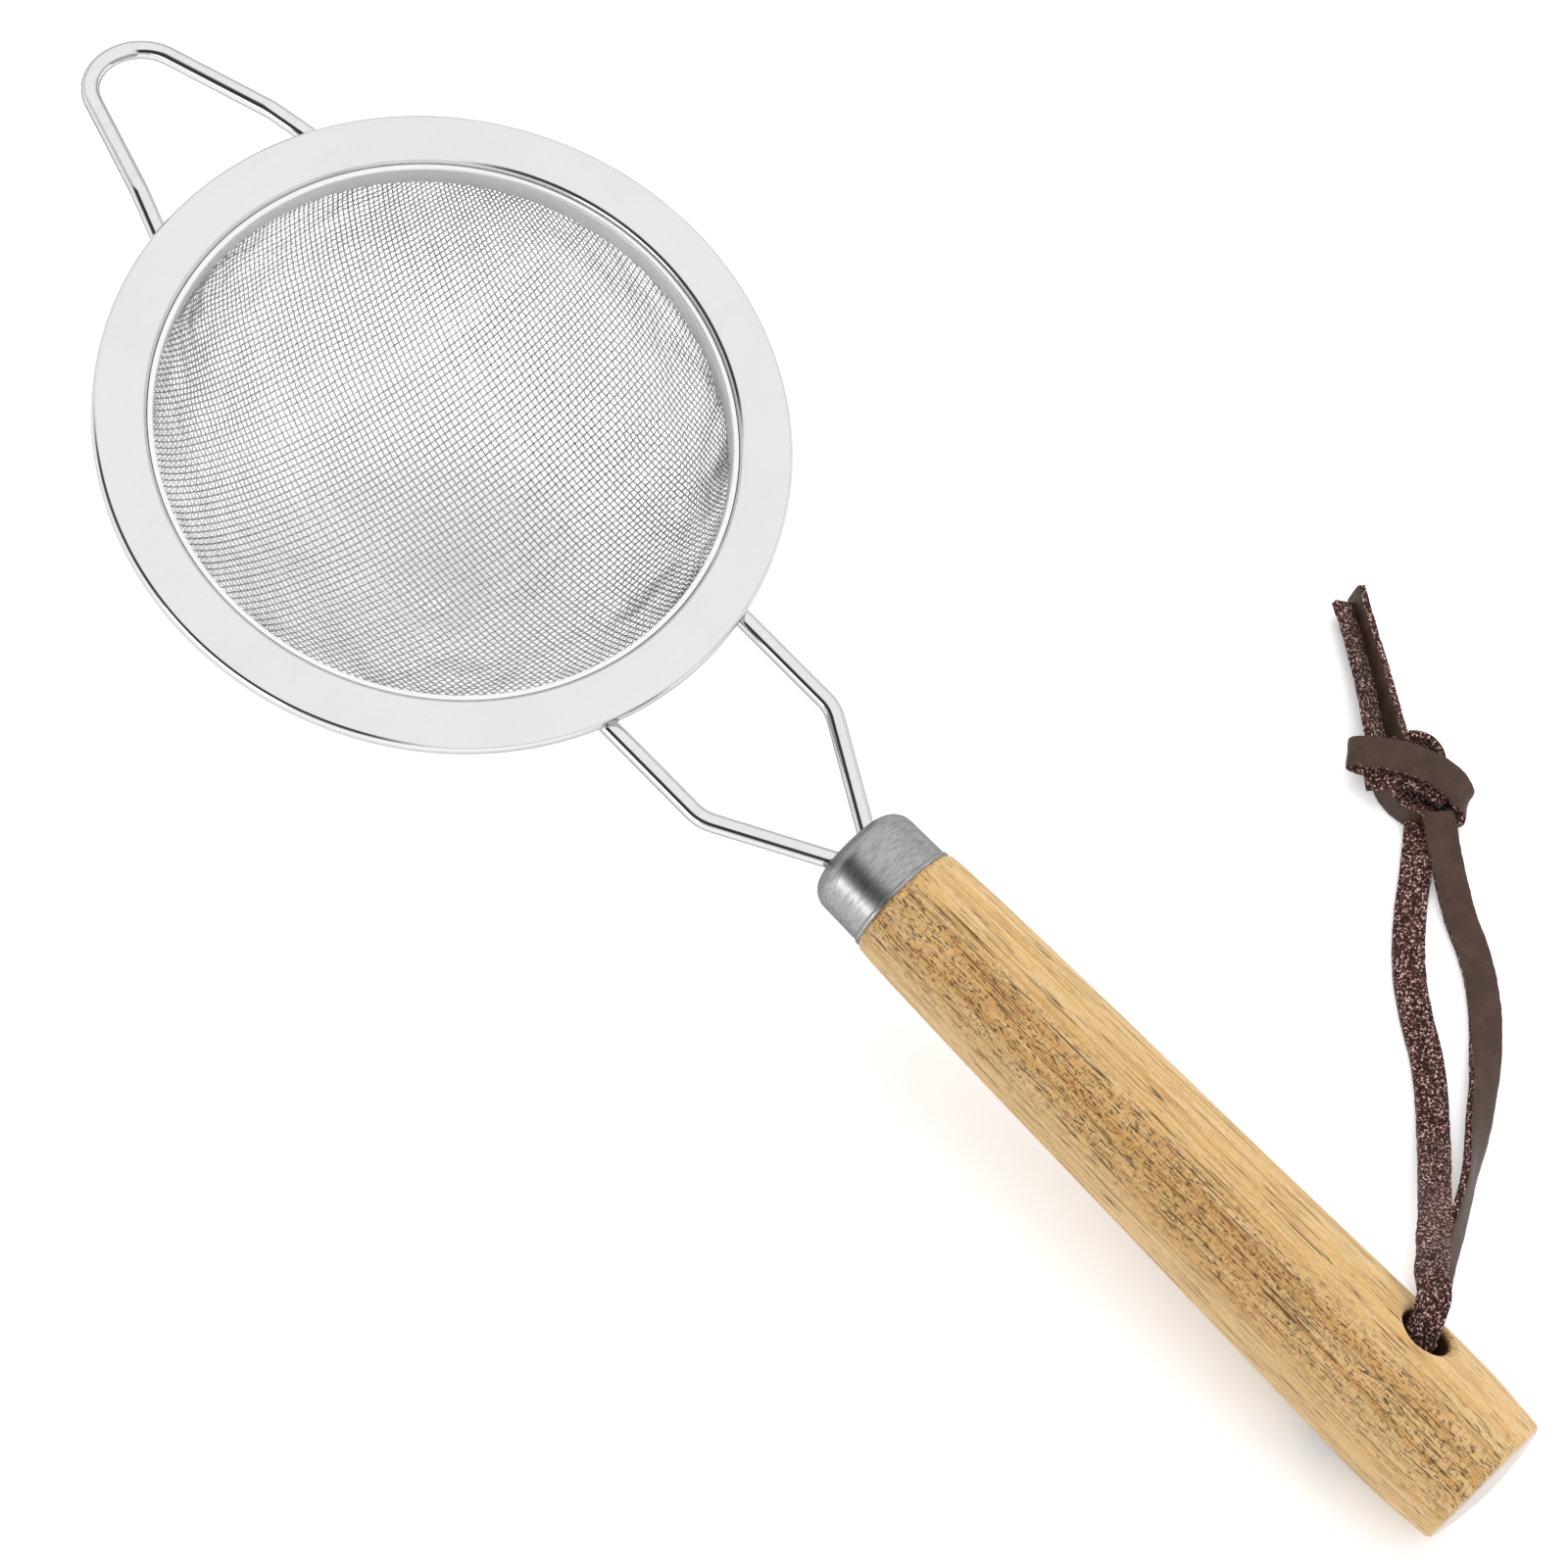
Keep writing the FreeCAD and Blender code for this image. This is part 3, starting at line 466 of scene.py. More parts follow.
def suede_material(settings):
    """The lace's rough side and cut edges: matted fibres, light on dark."""
    material, nodes, shader = new_material(
        "Suede", {"Specular IOR Level": 0.03, "Sheen Weight": 0.05, "Sheen Roughness": 0.5})
    place = nodes.place()
    fibres = nodes.noise(place, 3000.0, 2.0, 0.6, 0.6)
    clumps = nodes.noise(place, 900.0, 3.0)
    deep = [channel * 0.25 for channel in settings.suede]
    base = nodes.blend(nodes.remap(clumps, 0.30, 0.55), deep, settings.suede)
    base = nodes.blend(nodes.remap(fibres, 0.45, 0.53), deep, base)
    base = nodes.blend(nodes.remap(fibres, 0.57, 0.65), base, settings.suede_light)
    nodes.feed(shader.inputs["Base Color"], base)
    nodes.feed(shader.inputs["Roughness"], nodes.remap(fibres, 0.3, 0.7, 0.95, 0.8))
    nodes.bump(shader, fibres, 0.9, 0.00025)
    return material


# ---------------------------------------------------------------- mesh helpers


def new_object(name, data):
    made = bpy.data.objects.new(name, data)
    bpy.context.scene.collection.objects.link(made)
    return made


def mesh_object(name, points, faces, materials=(), edges=()):
    """A smooth-shaded mesh object, its place in its mesh."""
    data = bpy.data.meshes.new(name)
    data.from_pydata([tuple(p) for p in points], edges, faces)
    for material in materials:
        data.materials.append(material)
    data.shade_smooth()
    return new_object(name, data)


def evaluated_mesh(piece):
    """A new mesh with the shape that the object's modifiers or curve give it."""
    graph = bpy.context.evaluated_depsgraph_get()
    return bpy.data.meshes.new_from_object(piece.evaluated_get(graph))


def make_plain(piece):
    """Puts the piece's evaluated shape in place of its modifiers."""
    data = evaluated_mesh(piece)
    piece.modifiers.clear()
    piece.data = data


def sharpen(piece, angle):
    """Marks the edges over that many degrees sharp."""
    piece.data.set_sharp_from_angle(angle=math.radians(angle))


def face_outwards(piece, merge=0.0):
    """Merges points closer than that, if any, and turns the faces outwards."""
    work = bmesh.new()
    work.from_mesh(piece.data)
    if merge:
        bmesh.ops.remove_doubles(work, verts=work.verts, dist=merge)
    bmesh.ops.recalc_face_normals(work, faces=work.faces)
    work.to_mesh(piece.data)
    work.free()


def rounded(corners, steps=6):
    """A closed outline in which each corner (x, y, radius) becomes a tangent arc."""
    outline = []
    for index, (x, y, radius) in enumerate(corners):
        corner = Vector((x, y))
        if radius <= 0:
            outline.append(corner)
            continue
        back = (Vector(corners[index - 1][:2]) - corner).normalized()
        ahead = (Vector(corners[(index + 1) % len(corners)][:2]) - corner).normalized()
        half = back.angle(ahead) / 2
        middle = corner + (back + ahead).normalized() * (radius / math.sin(half))
        start = corner + back * (radius / math.tan(half)) - middle
        end = corner + ahead * (radius / math.tan(half)) - middle
        sweep = start.angle(end)
        for step in range(steps + 1):
            here = step / steps * sweep
            spoke = (start * math.sin(sweep - here) + end * math.sin(here)) / math.sin(sweep)
            outline.append(middle + spoke)
    return outline


def turned(name, outline, place, segments, materials, closed=True, sway=None):
    """A solid turned about X from an outline of (x, radius) in millimetres."""
    points, faces = [], []
    count = len(outline)
    for step in range(segments):
        angle = 2 * math.pi * step / segments
        for x, radius in outline:
            point = Vector((x, radius * math.cos(angle), radius * math.sin(angle)))
            points.append(place @ ((point + sway(point) if sway else point) * MM))
        here, there = step * count, (step + 1) % segments * count
        for index in range(count if closed else count - 1):
            onward = (index + 1) % count
            faces.append((here + index, here + onward, there + onward, there + index))
    piece = mesh_object(name, points, faces, materials)
    face_outwards(piece, 1e-7)
    return piece


def through(spots, steps):
    """A smooth line through the spots, with that many steps between each two."""
    padded = [spots[0] * 2 - spots[1], *spots, spots[-1] * 2 - spots[-2]]
    line = []
    for a, b, c, d in zip(padded, padded[1:], padded[2:], padded[3:]):
        for step in range(steps):
            t = step / steps
            line.append(0.5 * ((2 * b) + (c - a) * t + (2 * a - 5 * b + 4 * c - d) * t ** 2
                               + (3 * b - a - 3 * c + d) * t ** 3))
    return line + [spots[-1]]


def headings(line):
    """The direction of the line at each of its points."""
    last = len(line) - 1
    return [(line[min(index + 1, last)] - line[max(index - 1, 0)]).normalized()
            for index in range(len(line))]


def finish_piece(piece, slot, *nodes):
    """The piece rides with the strainer and stands for its nodes, which it hides; the slot is not used."""
    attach(piece, BODY)
    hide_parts(*nodes)


# ---------------------------------------------------------------- lace


def strip(name, stations, gauge, materials, rough=0.06):
    """A flat lace along its stations (middle, across, face direction, width): material 0 on the
    smooth face, material 1 on the suede face and the cut edges, which are rough by that many
    millimetres."""
    steps, points, faces, slots = 8, [], [], []
    for middle, across, face, width in stations:
        for side in (1, -1):
            for step in range(steps + 1):
                share = (step / steps * 2 - 1) * side
                edge_round = 0.12 * abs(share) ** 6
                point = middle + across * (share * (width / 2)) + face * (side * gauge * (0.5 - edge_round))
                if side < 0 or abs(share) > 0.99:
                    fray = noise.noise_vector(point * 1900.0) + noise.noise_vector(point * 700.0)
                    point = point + fray * rough * MM
                points.append(Vector((point.x, point.y, max(point.z, LYING * MM))))
    ring = 2 * (steps + 1)
    last = (len(stations) - 1) * ring
    for here in range(0, last, ring):
        there = here + ring
        for index in range(ring):
            onward = (index + 1) % ring
            faces.append((here + index, there + index, there + onward, here + onward))
            slots.append(0 if index < steps else 1)
    for start, turn in ((0, 1), (last, -1)):
        for index in range(steps):
            quad = (start + index, start + index + 1, start + ring - 2 - index, start + ring - 1 - index)
            faces.append(quad[::turn])
            slots.append(1)
    piece = mesh_object(name, points, faces, materials)
    piece.data.polygons.foreach_set("material_index", slots)
    face_outwards(piece)
    sharpen(piece, 50)
    return piece


def spline_points(name, route):
    """Points along the smooth line whose control points are the route's."""
    curve = bpy.data.curves.new(name + "_line", "CURVE")
    curve.dimensions = "3D"
    curve.resolution_u = 12
    spline = curve.splines.new("NURBS")
    spline.points.add(len(route) - 1)
    for point, place in zip(spline.points, route):
        point.co = (*place, 1.0)
    spline.order_u = 3
    spline.use_endpoint_u = True
    holder = new_object(name + "_line", curve)
    line = [vertex.co.copy() for vertex in evaluated_mesh(holder).vertices]
    bpy.data.objects.remove(holder)
    return line


def lay_along(count, lay):
    """The lay at each of so many even places, from its values at even steps of the route."""
    lays = []
    for index in range(count):
        place = index / (count - 1) * (len(lay) - 1)
        low = min(int(place), len(lay) - 2)
        share = place - low
        share = share * share * (3 - 2 * share)
        lays.append([a + (b - a) * share for a, b in zip(lay[low], lay[low + 1])])
    return lays


def strand_stations(line, lay, width):
    """Where a free strand's middle, width and smooth face lie along its line."""
    stations = []
    for point, onward, (turn, drop, aside) in zip(line, headings(line), lay_along(len(line), lay)):
        level = onward.cross(Vector((0, 0, 1))).normalized()
        rolled = Matrix.Rotation(math.radians(turn), 3, onward)
        middle = point - Vector((0, 0, drop * MM)) + level * (aside * MM)
        stations.append((middle, rolled @ level, rolled @ level.cross(onward), width))
    return stations


def ribbon_stations(edges, width, flip):
    """Where a knot ribbon lies, from the places of its two edges."""
    firsts, seconds = (through([lace_point(pair[side]) for pair in edges], 8) for side in (0, 1))
    middles = [(first + second) / 2 for first, second in zip(firsts, seconds)]
    stations = []
    for first, second, middle, onward in zip(firsts, seconds, middles, headings(middles)):
        across = (second - first).normalized()
        face = across.cross(onward).normalized() * (-1 if flip else 1)
        stations.append((middle, onward.cross(face).normalized(), face, width))
    return stations


class STRAINER_OT_lace(bpy.types.Operator):
    """Make the leather lace: two strands, the stretch through the handle, the knot and the cut ends"""

    bl_idname = "strainer.lace"
    bl_label = "Leather lace"

    def execute(self, context):
        settings = context.scene.strainer_handle
        width, gauge = settings.lace_width, settings.lace_gauge
        materials = [smooth_leather_material(settings), suede_material(settings)]
        noise.seed_set(FRAY_SEED)
        knot_pieces = self.make_knot(width, gauge, materials)
        handle = handle_frame()
        mouth = handle @ ((Vector((BORE_PLACE, 0, 0)) + BORE_LINE * 10.2) * MM)
        under = handle @ (Vector((BORE_PLACE, 8.0, -10.95)) * MM)
        self.make_bore_run(handle, width, gauge, materials)
        for side, route, lay, start in (("left", LEFT_STRAND, LEFT_LAY, mouth),
                                        ("right", RIGHT_STRAND, RIGHT_LAY, under)):
            line = spline_points("lace_" + side, route)
            piece = strip(f"lace_{side}_strap", strand_stations(line, lay, width), gauge, materials)
            finish_piece(piece, "leather", f"lace_strand_{side}")
        return {"FINISHED"}

    def make_knot(self, width, gauge, materials):
        """The knot's ribbons and the cut ends; thinner and narrower where the knot pulls them tight."""
        made = []
        for name, edges, flip, node, narrow, thin, rough in (
                ("knot_band", KNOT_BAND, False, "lace_knot", 1.0, 0.85, 0.06),
                ("knot_ply", KNOT_PLY, True, "lace_knot", 1.0, 0.85, 0.06),
                ("knot_lower_loop", KNOT_LOWER_LOOP, False, "lace_knot", 0.75, 0.85, 0.06),
                ("knot_upper_loop", KNOT_UPPER_LOOP, False, "lace_knot", 0.75, 0.85, 0.06),
                ("cut_end_left", LEFT_TAIL, True, "lace_tail_left", 1.0, 0.9, 0.09),
                ("cut_end_right", RIGHT_TAIL, False, "lace_tail_right", 1.0, 0.9, 0.09)):
            piece = strip(name, ribbon_stations(edges, width * narrow, flip), gauge * thin, materials, rough)
            finish_piece(piece, "leather", node)
            made.append(piece)
        return made

    def make_bore_run(self, handle, width, gauge, materials):
        """The stretch that goes through the hanging hole and folds flat under the grip."""
        spots = [BORE_LINE * 9.0, BORE_LINE * 2.0, BORE_LINE * -6.0, BORE_LINE * -10.3,
                 Vector((0, -5.6, -9.45)), Vector((0, -4.6, -10.1)), Vector((0, -2.4, -10.85)),
                 Vector((0, 2.0, -10.95)), Vector((0, 8.6, -10.95))]
        line = [handle @ ((spot + Vector((BORE_PLACE, 0, 0))) * MM) for spot in through(spots, 6)]
        across = (handle.to_3x3() @ Vector((1, 0, 0))).normalized()
        stations = [(point, across, onward.cross(across).normalized() * -1, width)
                    for point, onward in zip(line, headings(line))]
        finish_piece(strip("lace_through_strap", stations, gauge, materials), "leather", "lace_bore_run")


# ---------------------------------------------------------------- wires by Geometry Nodes


def swept(nodes, line, wire, corners):
    """A wire of that diameter along the line, its section a polygon with that many corners."""
    section = nodes.put("GeometryNodeCurvePrimitiveCircle", {"Resolution": corners, "Radius": wire / 2.0})
    return nodes.put("GeometryNodeCurveToMesh", {"Curve": line.outputs[0], "Fill Caps": True,
                                                 "Profile Curve": section.outputs[0]})


def end_tree(nodes, solid, finish, result):
    """Makes the solid real and smooth, gives it its finish and hands it to the tree's end."""
    smooth = nodes.put("GeometryNodeSetShadeSmooth", {0: solid.outputs[0]})
    real = nodes.put("GeometryNodeRealizeInstances", {0: smooth.outputs[0]})
    last = nodes.put("GeometryNodeSetMaterial", {"Geometry": real.outputs[0], "Material": finish})
    nodes.feed(result.inputs["Geometry"], last.outputs[0])


def nodes_piece(name, tree, source, inputs):
    """A plain mesh made by a node tree from the source mesh, its inputs set by their names."""
    piece = new_object(name, source)
    modifier = piece.modifiers.new("Maker", "NODES")
    modifier.node_group = tree
    named = {item.name: item.identifier for item in tree.interface.items_tree
             if item.item_type == "SOCKET" and item.in_out == "INPUT"}
    for key, value in inputs.items():
        modifier[named[key]] = value
    make_plain(piece)
    return piece


def weave_tree():
    """Geometry Nodes: one family of crimped wires of a cloth pressed over the bowl's profile."""
    tree, nodes, given, result = new_group("Woven wire cloth", "GeometryNodeTree", [
        ("Geometry", "NodeSocketGeometry", None),
        ("Bowl profile", "NodeSocketObject", None),
        ("Wire", "NodeSocketFloat", 0.0001),
        ("Pitch", "NodeSocketFloat", 0.001),
        ("Crossing pitch", "NodeSocketFloat", 0.001),
        ("Cloth reach", "NodeSocketFloat", 0.06),
        ("First row", "NodeSocketInt", 0),
        ("Rows", "NodeSocketInt", 10),
        ("Stations", "NodeSocketInt", 10),
        ("Crossways", "NodeSocketBool", False),
        ("Turn", "NodeSocketFloat", 0.0),
        ("Bias stretch", "NodeSocketFloat", 0.14),
        ("Bias turn", "NodeSocketFloat", 0.35),
        ("Dents", "NodeSocketFloat", 0.0),
        ("Rim centre", "NodeSocketVector", None),
        ("Rim tilt", "NodeSocketRotation", None),
        ("Finish", "NodeSocketMaterial", None),
    ], [("Geometry", "NodeSocketGeometry")])
    tree.is_modifier = True

    def drop_over(shape, value, limit, **settings):
        """Deletes the shape's elements at which the value is over the limit."""
        over = nodes.put("FunctionNodeCompare", {0: value, 1: limit}, operation="GREATER_THAN")
        return nodes.put("GeometryNodeDeleteGeometry", {"Geometry": shape.outputs[0],
                                                        "Selection": over.outputs[0]}, **settings)

    def either(if_crossways, otherwise):
        return nodes.amount("GeometryNodeSwitch", {0: given["Crossways"], 1: otherwise, 2: if_crossways},
                            input_type="FLOAT")

    # A flat grid, two stations to each crossing, of which only the lines along the wires are kept.
    rows_less = given["Rows"] - 1.0
    grid = nodes.put("GeometryNodeMeshGrid", {
        "Size X": (given["Stations"] - 1.0) * (given["Crossing pitch"] / 2.0),
        "Size Y": rows_less * given["Pitch"],
        "Vertices X": given["Stations"], "Vertices Y": given["Rows"]})
    shift = nodes.point(Y=(given["First row"] + rows_less / 2.0) * given["Pitch"])
    grid = nodes.put("GeometryNodeTransform", {"Geometry": grid.outputs[0], "Translation": shift})
    ends = nodes.put("GeometryNodeInputMeshEdgeVertices")
    gap = nodes.split(nodes.vector("SUBTRACT", ends.outputs[2], ends.outputs[3]))[1]
    rows = drop_over(grid, abs(gap), 1e-6, domain="EDGE", mode="EDGE_FACE")

    # Each flat place's way from the middle, and the cloth's give across its bias.
    along, aside, _ = nodes.split(nodes.put("GeometryNodeInputPosition").outputs[0])
    u, v = either(aside, along), either(along, aside)
    reach = nodes.calc("SQRT", u * u + v * v)
    round_by = nodes.calc("ARCTAN2", v, u)
    share = (reach / given["Cloth reach"]) ** 2.0
    bias = nodes.calc("SINE", round_by * 2.0) ** 2.0
    arc = reach * (given["Bias stretch"] * share * bias + 1.0)
    shear = nodes.calc("SINE", round_by * 4.0) * (given["Bias turn"] * share / 4.0)
    heading = round_by + shear + given["Turn"]
    rows = drop_over(rows, arc, given["Cloth reach"], domain="POINT", mode="ALL")

    # The place on the bowl, lifted by the wires' crimp and the cloth's dents.
    profile = nodes.put("GeometryNodeObjectInfo", {"Object": given["Bowl profile"]},
                        transform_space="ORIGINAL")
    profile = nodes.put("GeometryNodeMeshToCurve", {0: profile.outputs["Geometry"]})
    sample = nodes.put("GeometryNodeSampleCurve", {"Curves": profile.outputs[0], "Length": arc},
                       mode="LENGTH", data_type="FLOAT")
    radius, _, height = nodes.split(sample.outputs["Position"])
    slope_out, _, slope_up = nodes.split(sample.outputs["Tangent"])
    turns = along / given["Crossing pitch"] + aside / given["Pitch"]
    crimp = nodes.calc("COSINE", turns * math.pi) * (given["Wire"] / 2.0) * either(-1.0, 1.0)
    uneven = nodes.noise(nodes.point(X=u, Y=v), 85.0, 2.0, 0.45) - 0.5
    lift = crimp + uneven * given["Dents"] * (nodes.remap(share, 0.97, 0.72) * 2.0)
    radius = radius + lift * slope_up
    pressed = nodes.point(X=radius * nodes.calc("COSINE", heading), Y=radius * nodes.calc("SINE", heading),
                          Z=height - lift * slope_out)
    wires = nodes.put("GeometryNodeMeshToCurve", {0: rows.outputs[0]})
    wires = nodes.put("GeometryNodeSetPosition", {"Geometry": wires.outputs[0], "Position": pressed})
    solid = swept(nodes, wires, given["Wire"], 4)
    placed = nodes.put("GeometryNodeTransform", {
        "Geometry": solid.outputs[0], "Translation": given["Rim centre"], "Rotation": given["Rim tilt"]})
    end_tree(nodes, placed, given["Finish"], result)
    return tree


def bent_wire_tree():
    """Geometry Nodes: a round wire along a line of corners, each bent to its own radius."""
    tree, nodes, given, result = new_group("Bent wire", "GeometryNodeTree", [
        ("Geometry", "NodeSocketGeometry", None), ("Wire", "NodeSocketFloat", 0.0024),
        ("Finish", "NodeSocketMaterial", None)], [("Geometry", "NodeSocketGeometry")])
    tree.is_modifier = True
    line = nodes.put("GeometryNodeMeshToCurve", {0: given["Geometry"]})
    bend = nodes.put("GeometryNodeInputNamedAttribute", {"Name": "bend_radius"}, data_type="FLOAT")
    bent = nodes.put("GeometryNodeFilletCurve", {"Curve": line.outputs[0], "Count": 16,
                                                 "Radius": bend.outputs[0]}, mode="POLY")
    end_tree(nodes, swept(nodes, bent, given["Wire"], 32), given["Finish"], result)
    return tree


# ---------------------------------------------------------------- bowl, rim and wires


class STRAINER_OT_bowl(bpy.types.Operator):
    """Weave the bowl's wire cloth and press it to its depth"""

    bl_idname = "strainer.bowl"
    bl_label = "Woven bowl"

    def execute(self, context):
        settings = context.scene.strainer_metal
        finish = steel_material("Cloth wire", settings.cloth_steel, 0.16, 0.05, edge=0.08)
        radius, drop, collar, top, arc_steps = 37.77, 35.0, 4.4, 1.9, 96
        profile = []
        for step in range(arc_steps + 1):
            angle = math.pi / 2 * step / arc_steps
            profile.append(Vector((radius * math.sin(angle), 0.0, -collar - drop * math.cos(angle))) * MM)
        profile += [Vector((radius, 0.0, z)) * MM for z in (-collar + 0.8, -collar + 1.6, -top)]
        reach = sum((b - a).length for a, b in zip(profile, profile[1:]))
        shape = mesh_object("bowl_profile", profile, [],
                            edges=[(index, index + 1) for index in range(len(profile) - 1)])
        tree = weave_tree()
        rim = rim_frame()
        for family, crossways, pitch, crossing in (
                ("lengthways", False, settings.pitch_along, settings.pitch_across),
                ("crossways", True, settings.pitch_across, settings.pitch_along)):
            half = int(reach / pitch) + 1
            stations = 2 * int(reach / (crossing / 2)) + 3
            for side, first, rows in (("one", 0, half + 1), ("two", -half, half)):
                piece = nodes_piece(
                    f"bowl_wires_{family}_{side}", tree, bpy.data.meshes.new("cloth_start"),
                    {"Bowl profile": shape, "Wire": settings.cloth_wire, "Pitch": pitch,
                     "Crossing pitch": crossing, "Cloth reach": reach, "First row": first,
                     "Rows": rows, "Stations": stations, "Crossways": crossways,
                     "Turn": settings.cloth_turn, "Dents": settings.dents,
                     "Rim centre": tuple(rim.translation), "Rim tilt": rim.to_euler(),
                     "Finish": finish})
                finish_piece(piece, "woven_wire", "mesh_bowl")
        bpy.data.objects.remove(shape)
        return {"FINISHED"}


class STRAINER_OT_rim(bpy.types.Operator):
    """Make the pressed rim and the band that clamps the cloth in it"""

    bl_idname = "strainer.rim"
    bl_label = "Rim and clamp band"

    def execute(self, context):
        settings = context.scene.strainer_metal
        steel = steel_material("Rim steel", settings.steel, 0.12, 0.05, 0.2, edge=0.6, marks=0.015)
        brighter = [channel * 1.2 for channel in settings.steel]
        band_steel = steel_material("Band steel", brighter, 0.38, 0.15, edge=0.9, marks=0.03)
        flange = rounded([(0, 45.0, 0.9), (-1.7, 45.0, 0.15), (-1.7, 44.5, 0.15), (-0.5, 44.5, 0.4),
                          (-0.5, 38.5, 0.6), (-4.4, 38.5, 0.1), (-4.4, 38.0, 0.1), (0, 38.0, 1.1)])
        band = rounded([(-0.85, 37.97, 0.08), (-1.5, 37.97, 0.08), (-1.5, 37.54, 0.05),
                        (-4.4, 37.54, 0.08), (-4.4, 37.19, 0.1), (-0.85, 37.19, 0.3)], 4)

        def uneven(point):
            return Vector((noise.noise(point * 0.06) * 0.05, 0, 0))
        on_edge = rim_frame() @ Matrix.Rotation(-math.pi / 2, 4, "Y")
        for name, outline, material, sway, angle, slot, node in (
                ("rim_sheet", flange, steel, uneven, 40, "rim_steel", "rim_flange"),
                ("clamp_ring", band, band_steel, None, 50, "band_steel", "mesh_clamp_band")):
            piece = turned(name, outline, on_edge, 288, [material], sway=sway)
            sharpen(piece, angle)
            finish_piece(piece, slot, node)
        return {"FINISHED"}


class STRAINER_OT_wires(bpy.types.Operator):
    """Bend the rest loop and the two yoke wires"""

    bl_idname = "strainer.wires"
    bl_label = "Wires"

    def execute(self, context):
        settings = context.scene.strainer_metal
        steel = steel_material("Wire steel", settings.steel, 0.07, 0.12, 0.15, edge=0.12)
        tree = bent_wire_tree()
        for name, place, spots, bends, node in [self.rest_loop(), self.yoke("left", 1),
                                                self.yoke("right", -1)]:
            points = [place @ (Vector(spot) * MM) for spot in spots]
            source = bpy.data.meshes.new(name)
            source.from_pydata([tuple(p) for p in points],
                               [(index, index + 1) for index in range(len(points) - 1)], [])
            radii = source.attributes.new("bend_radius", "FLOAT", "POINT")
            radii.data.foreach_set("value", [bend * MM for bend in bends])
            piece = nodes_piece(name, tree, source, {"Wire": settings.wire, "Finish": steel})
            sharpen(piece, 50)
            finish_piece(piece, "wire_steel", node)
        return {"FINISHED"}

    def rest_loop(self):
        """The loop's corners in the rim's frame: two legs that lean in, and a tip that dips."""
        lean, dip = math.radians(16.2), math.radians(14.0)
        level, weld, knee, half_width = -2.85, -36.6, -49.5, 14.5
        spread = half_width - (weld - knee) * math.tan(lean)
        reach = spread / math.tan(lean)
        tip = (knee - reach * math.cos(dip), 0.0, level - reach * math.sin(dip))
        spots = [(weld, half_width, level), (knee, spread, level), tip,
                 (knee, -spread, level), (weld, -half_width, level)]
        turn = rim_frame() @ Matrix.Rotation(math.radians(-4.4), 4, "Z")
        return "rest_wire", turn, spots, [0, 6.0, 6.4, 6.0, 0], "front_rest_loop"

    def yoke(self, name, side):
        """One yoke wire's corners in the handle's frame: out from the rim, then in to the ferrule."""
        knee, apart, together = 14.8, 11.85, 1.23
        meet = knee + (apart - together) / math.tan(math.radians(30.8))
        spots = [(-7.9, side * apart, 0), (knee, side * apart, 0), (meet, side * together, 0),
                 (74.0, side * together, 0)]
        return f"yoke_{name}", handle_frame(), spots, [0, 5.5, 2.6, 0], f"yoke_wire_{name}"


# ---------------------------------------------------------------- handle


def cut(piece, cutter):
    """Cuts the cutter's shape out of the piece and removes the cutter."""
    modifier = piece.modifiers.new("Cut", "BOOLEAN")
    modifier.operation, modifier.solver, modifier.object = "DIFFERENCE", "EXACT", cutter
    make_plain(piece)
    sharpen(piece, 35)
    bpy.data.objects.remove(cutter)


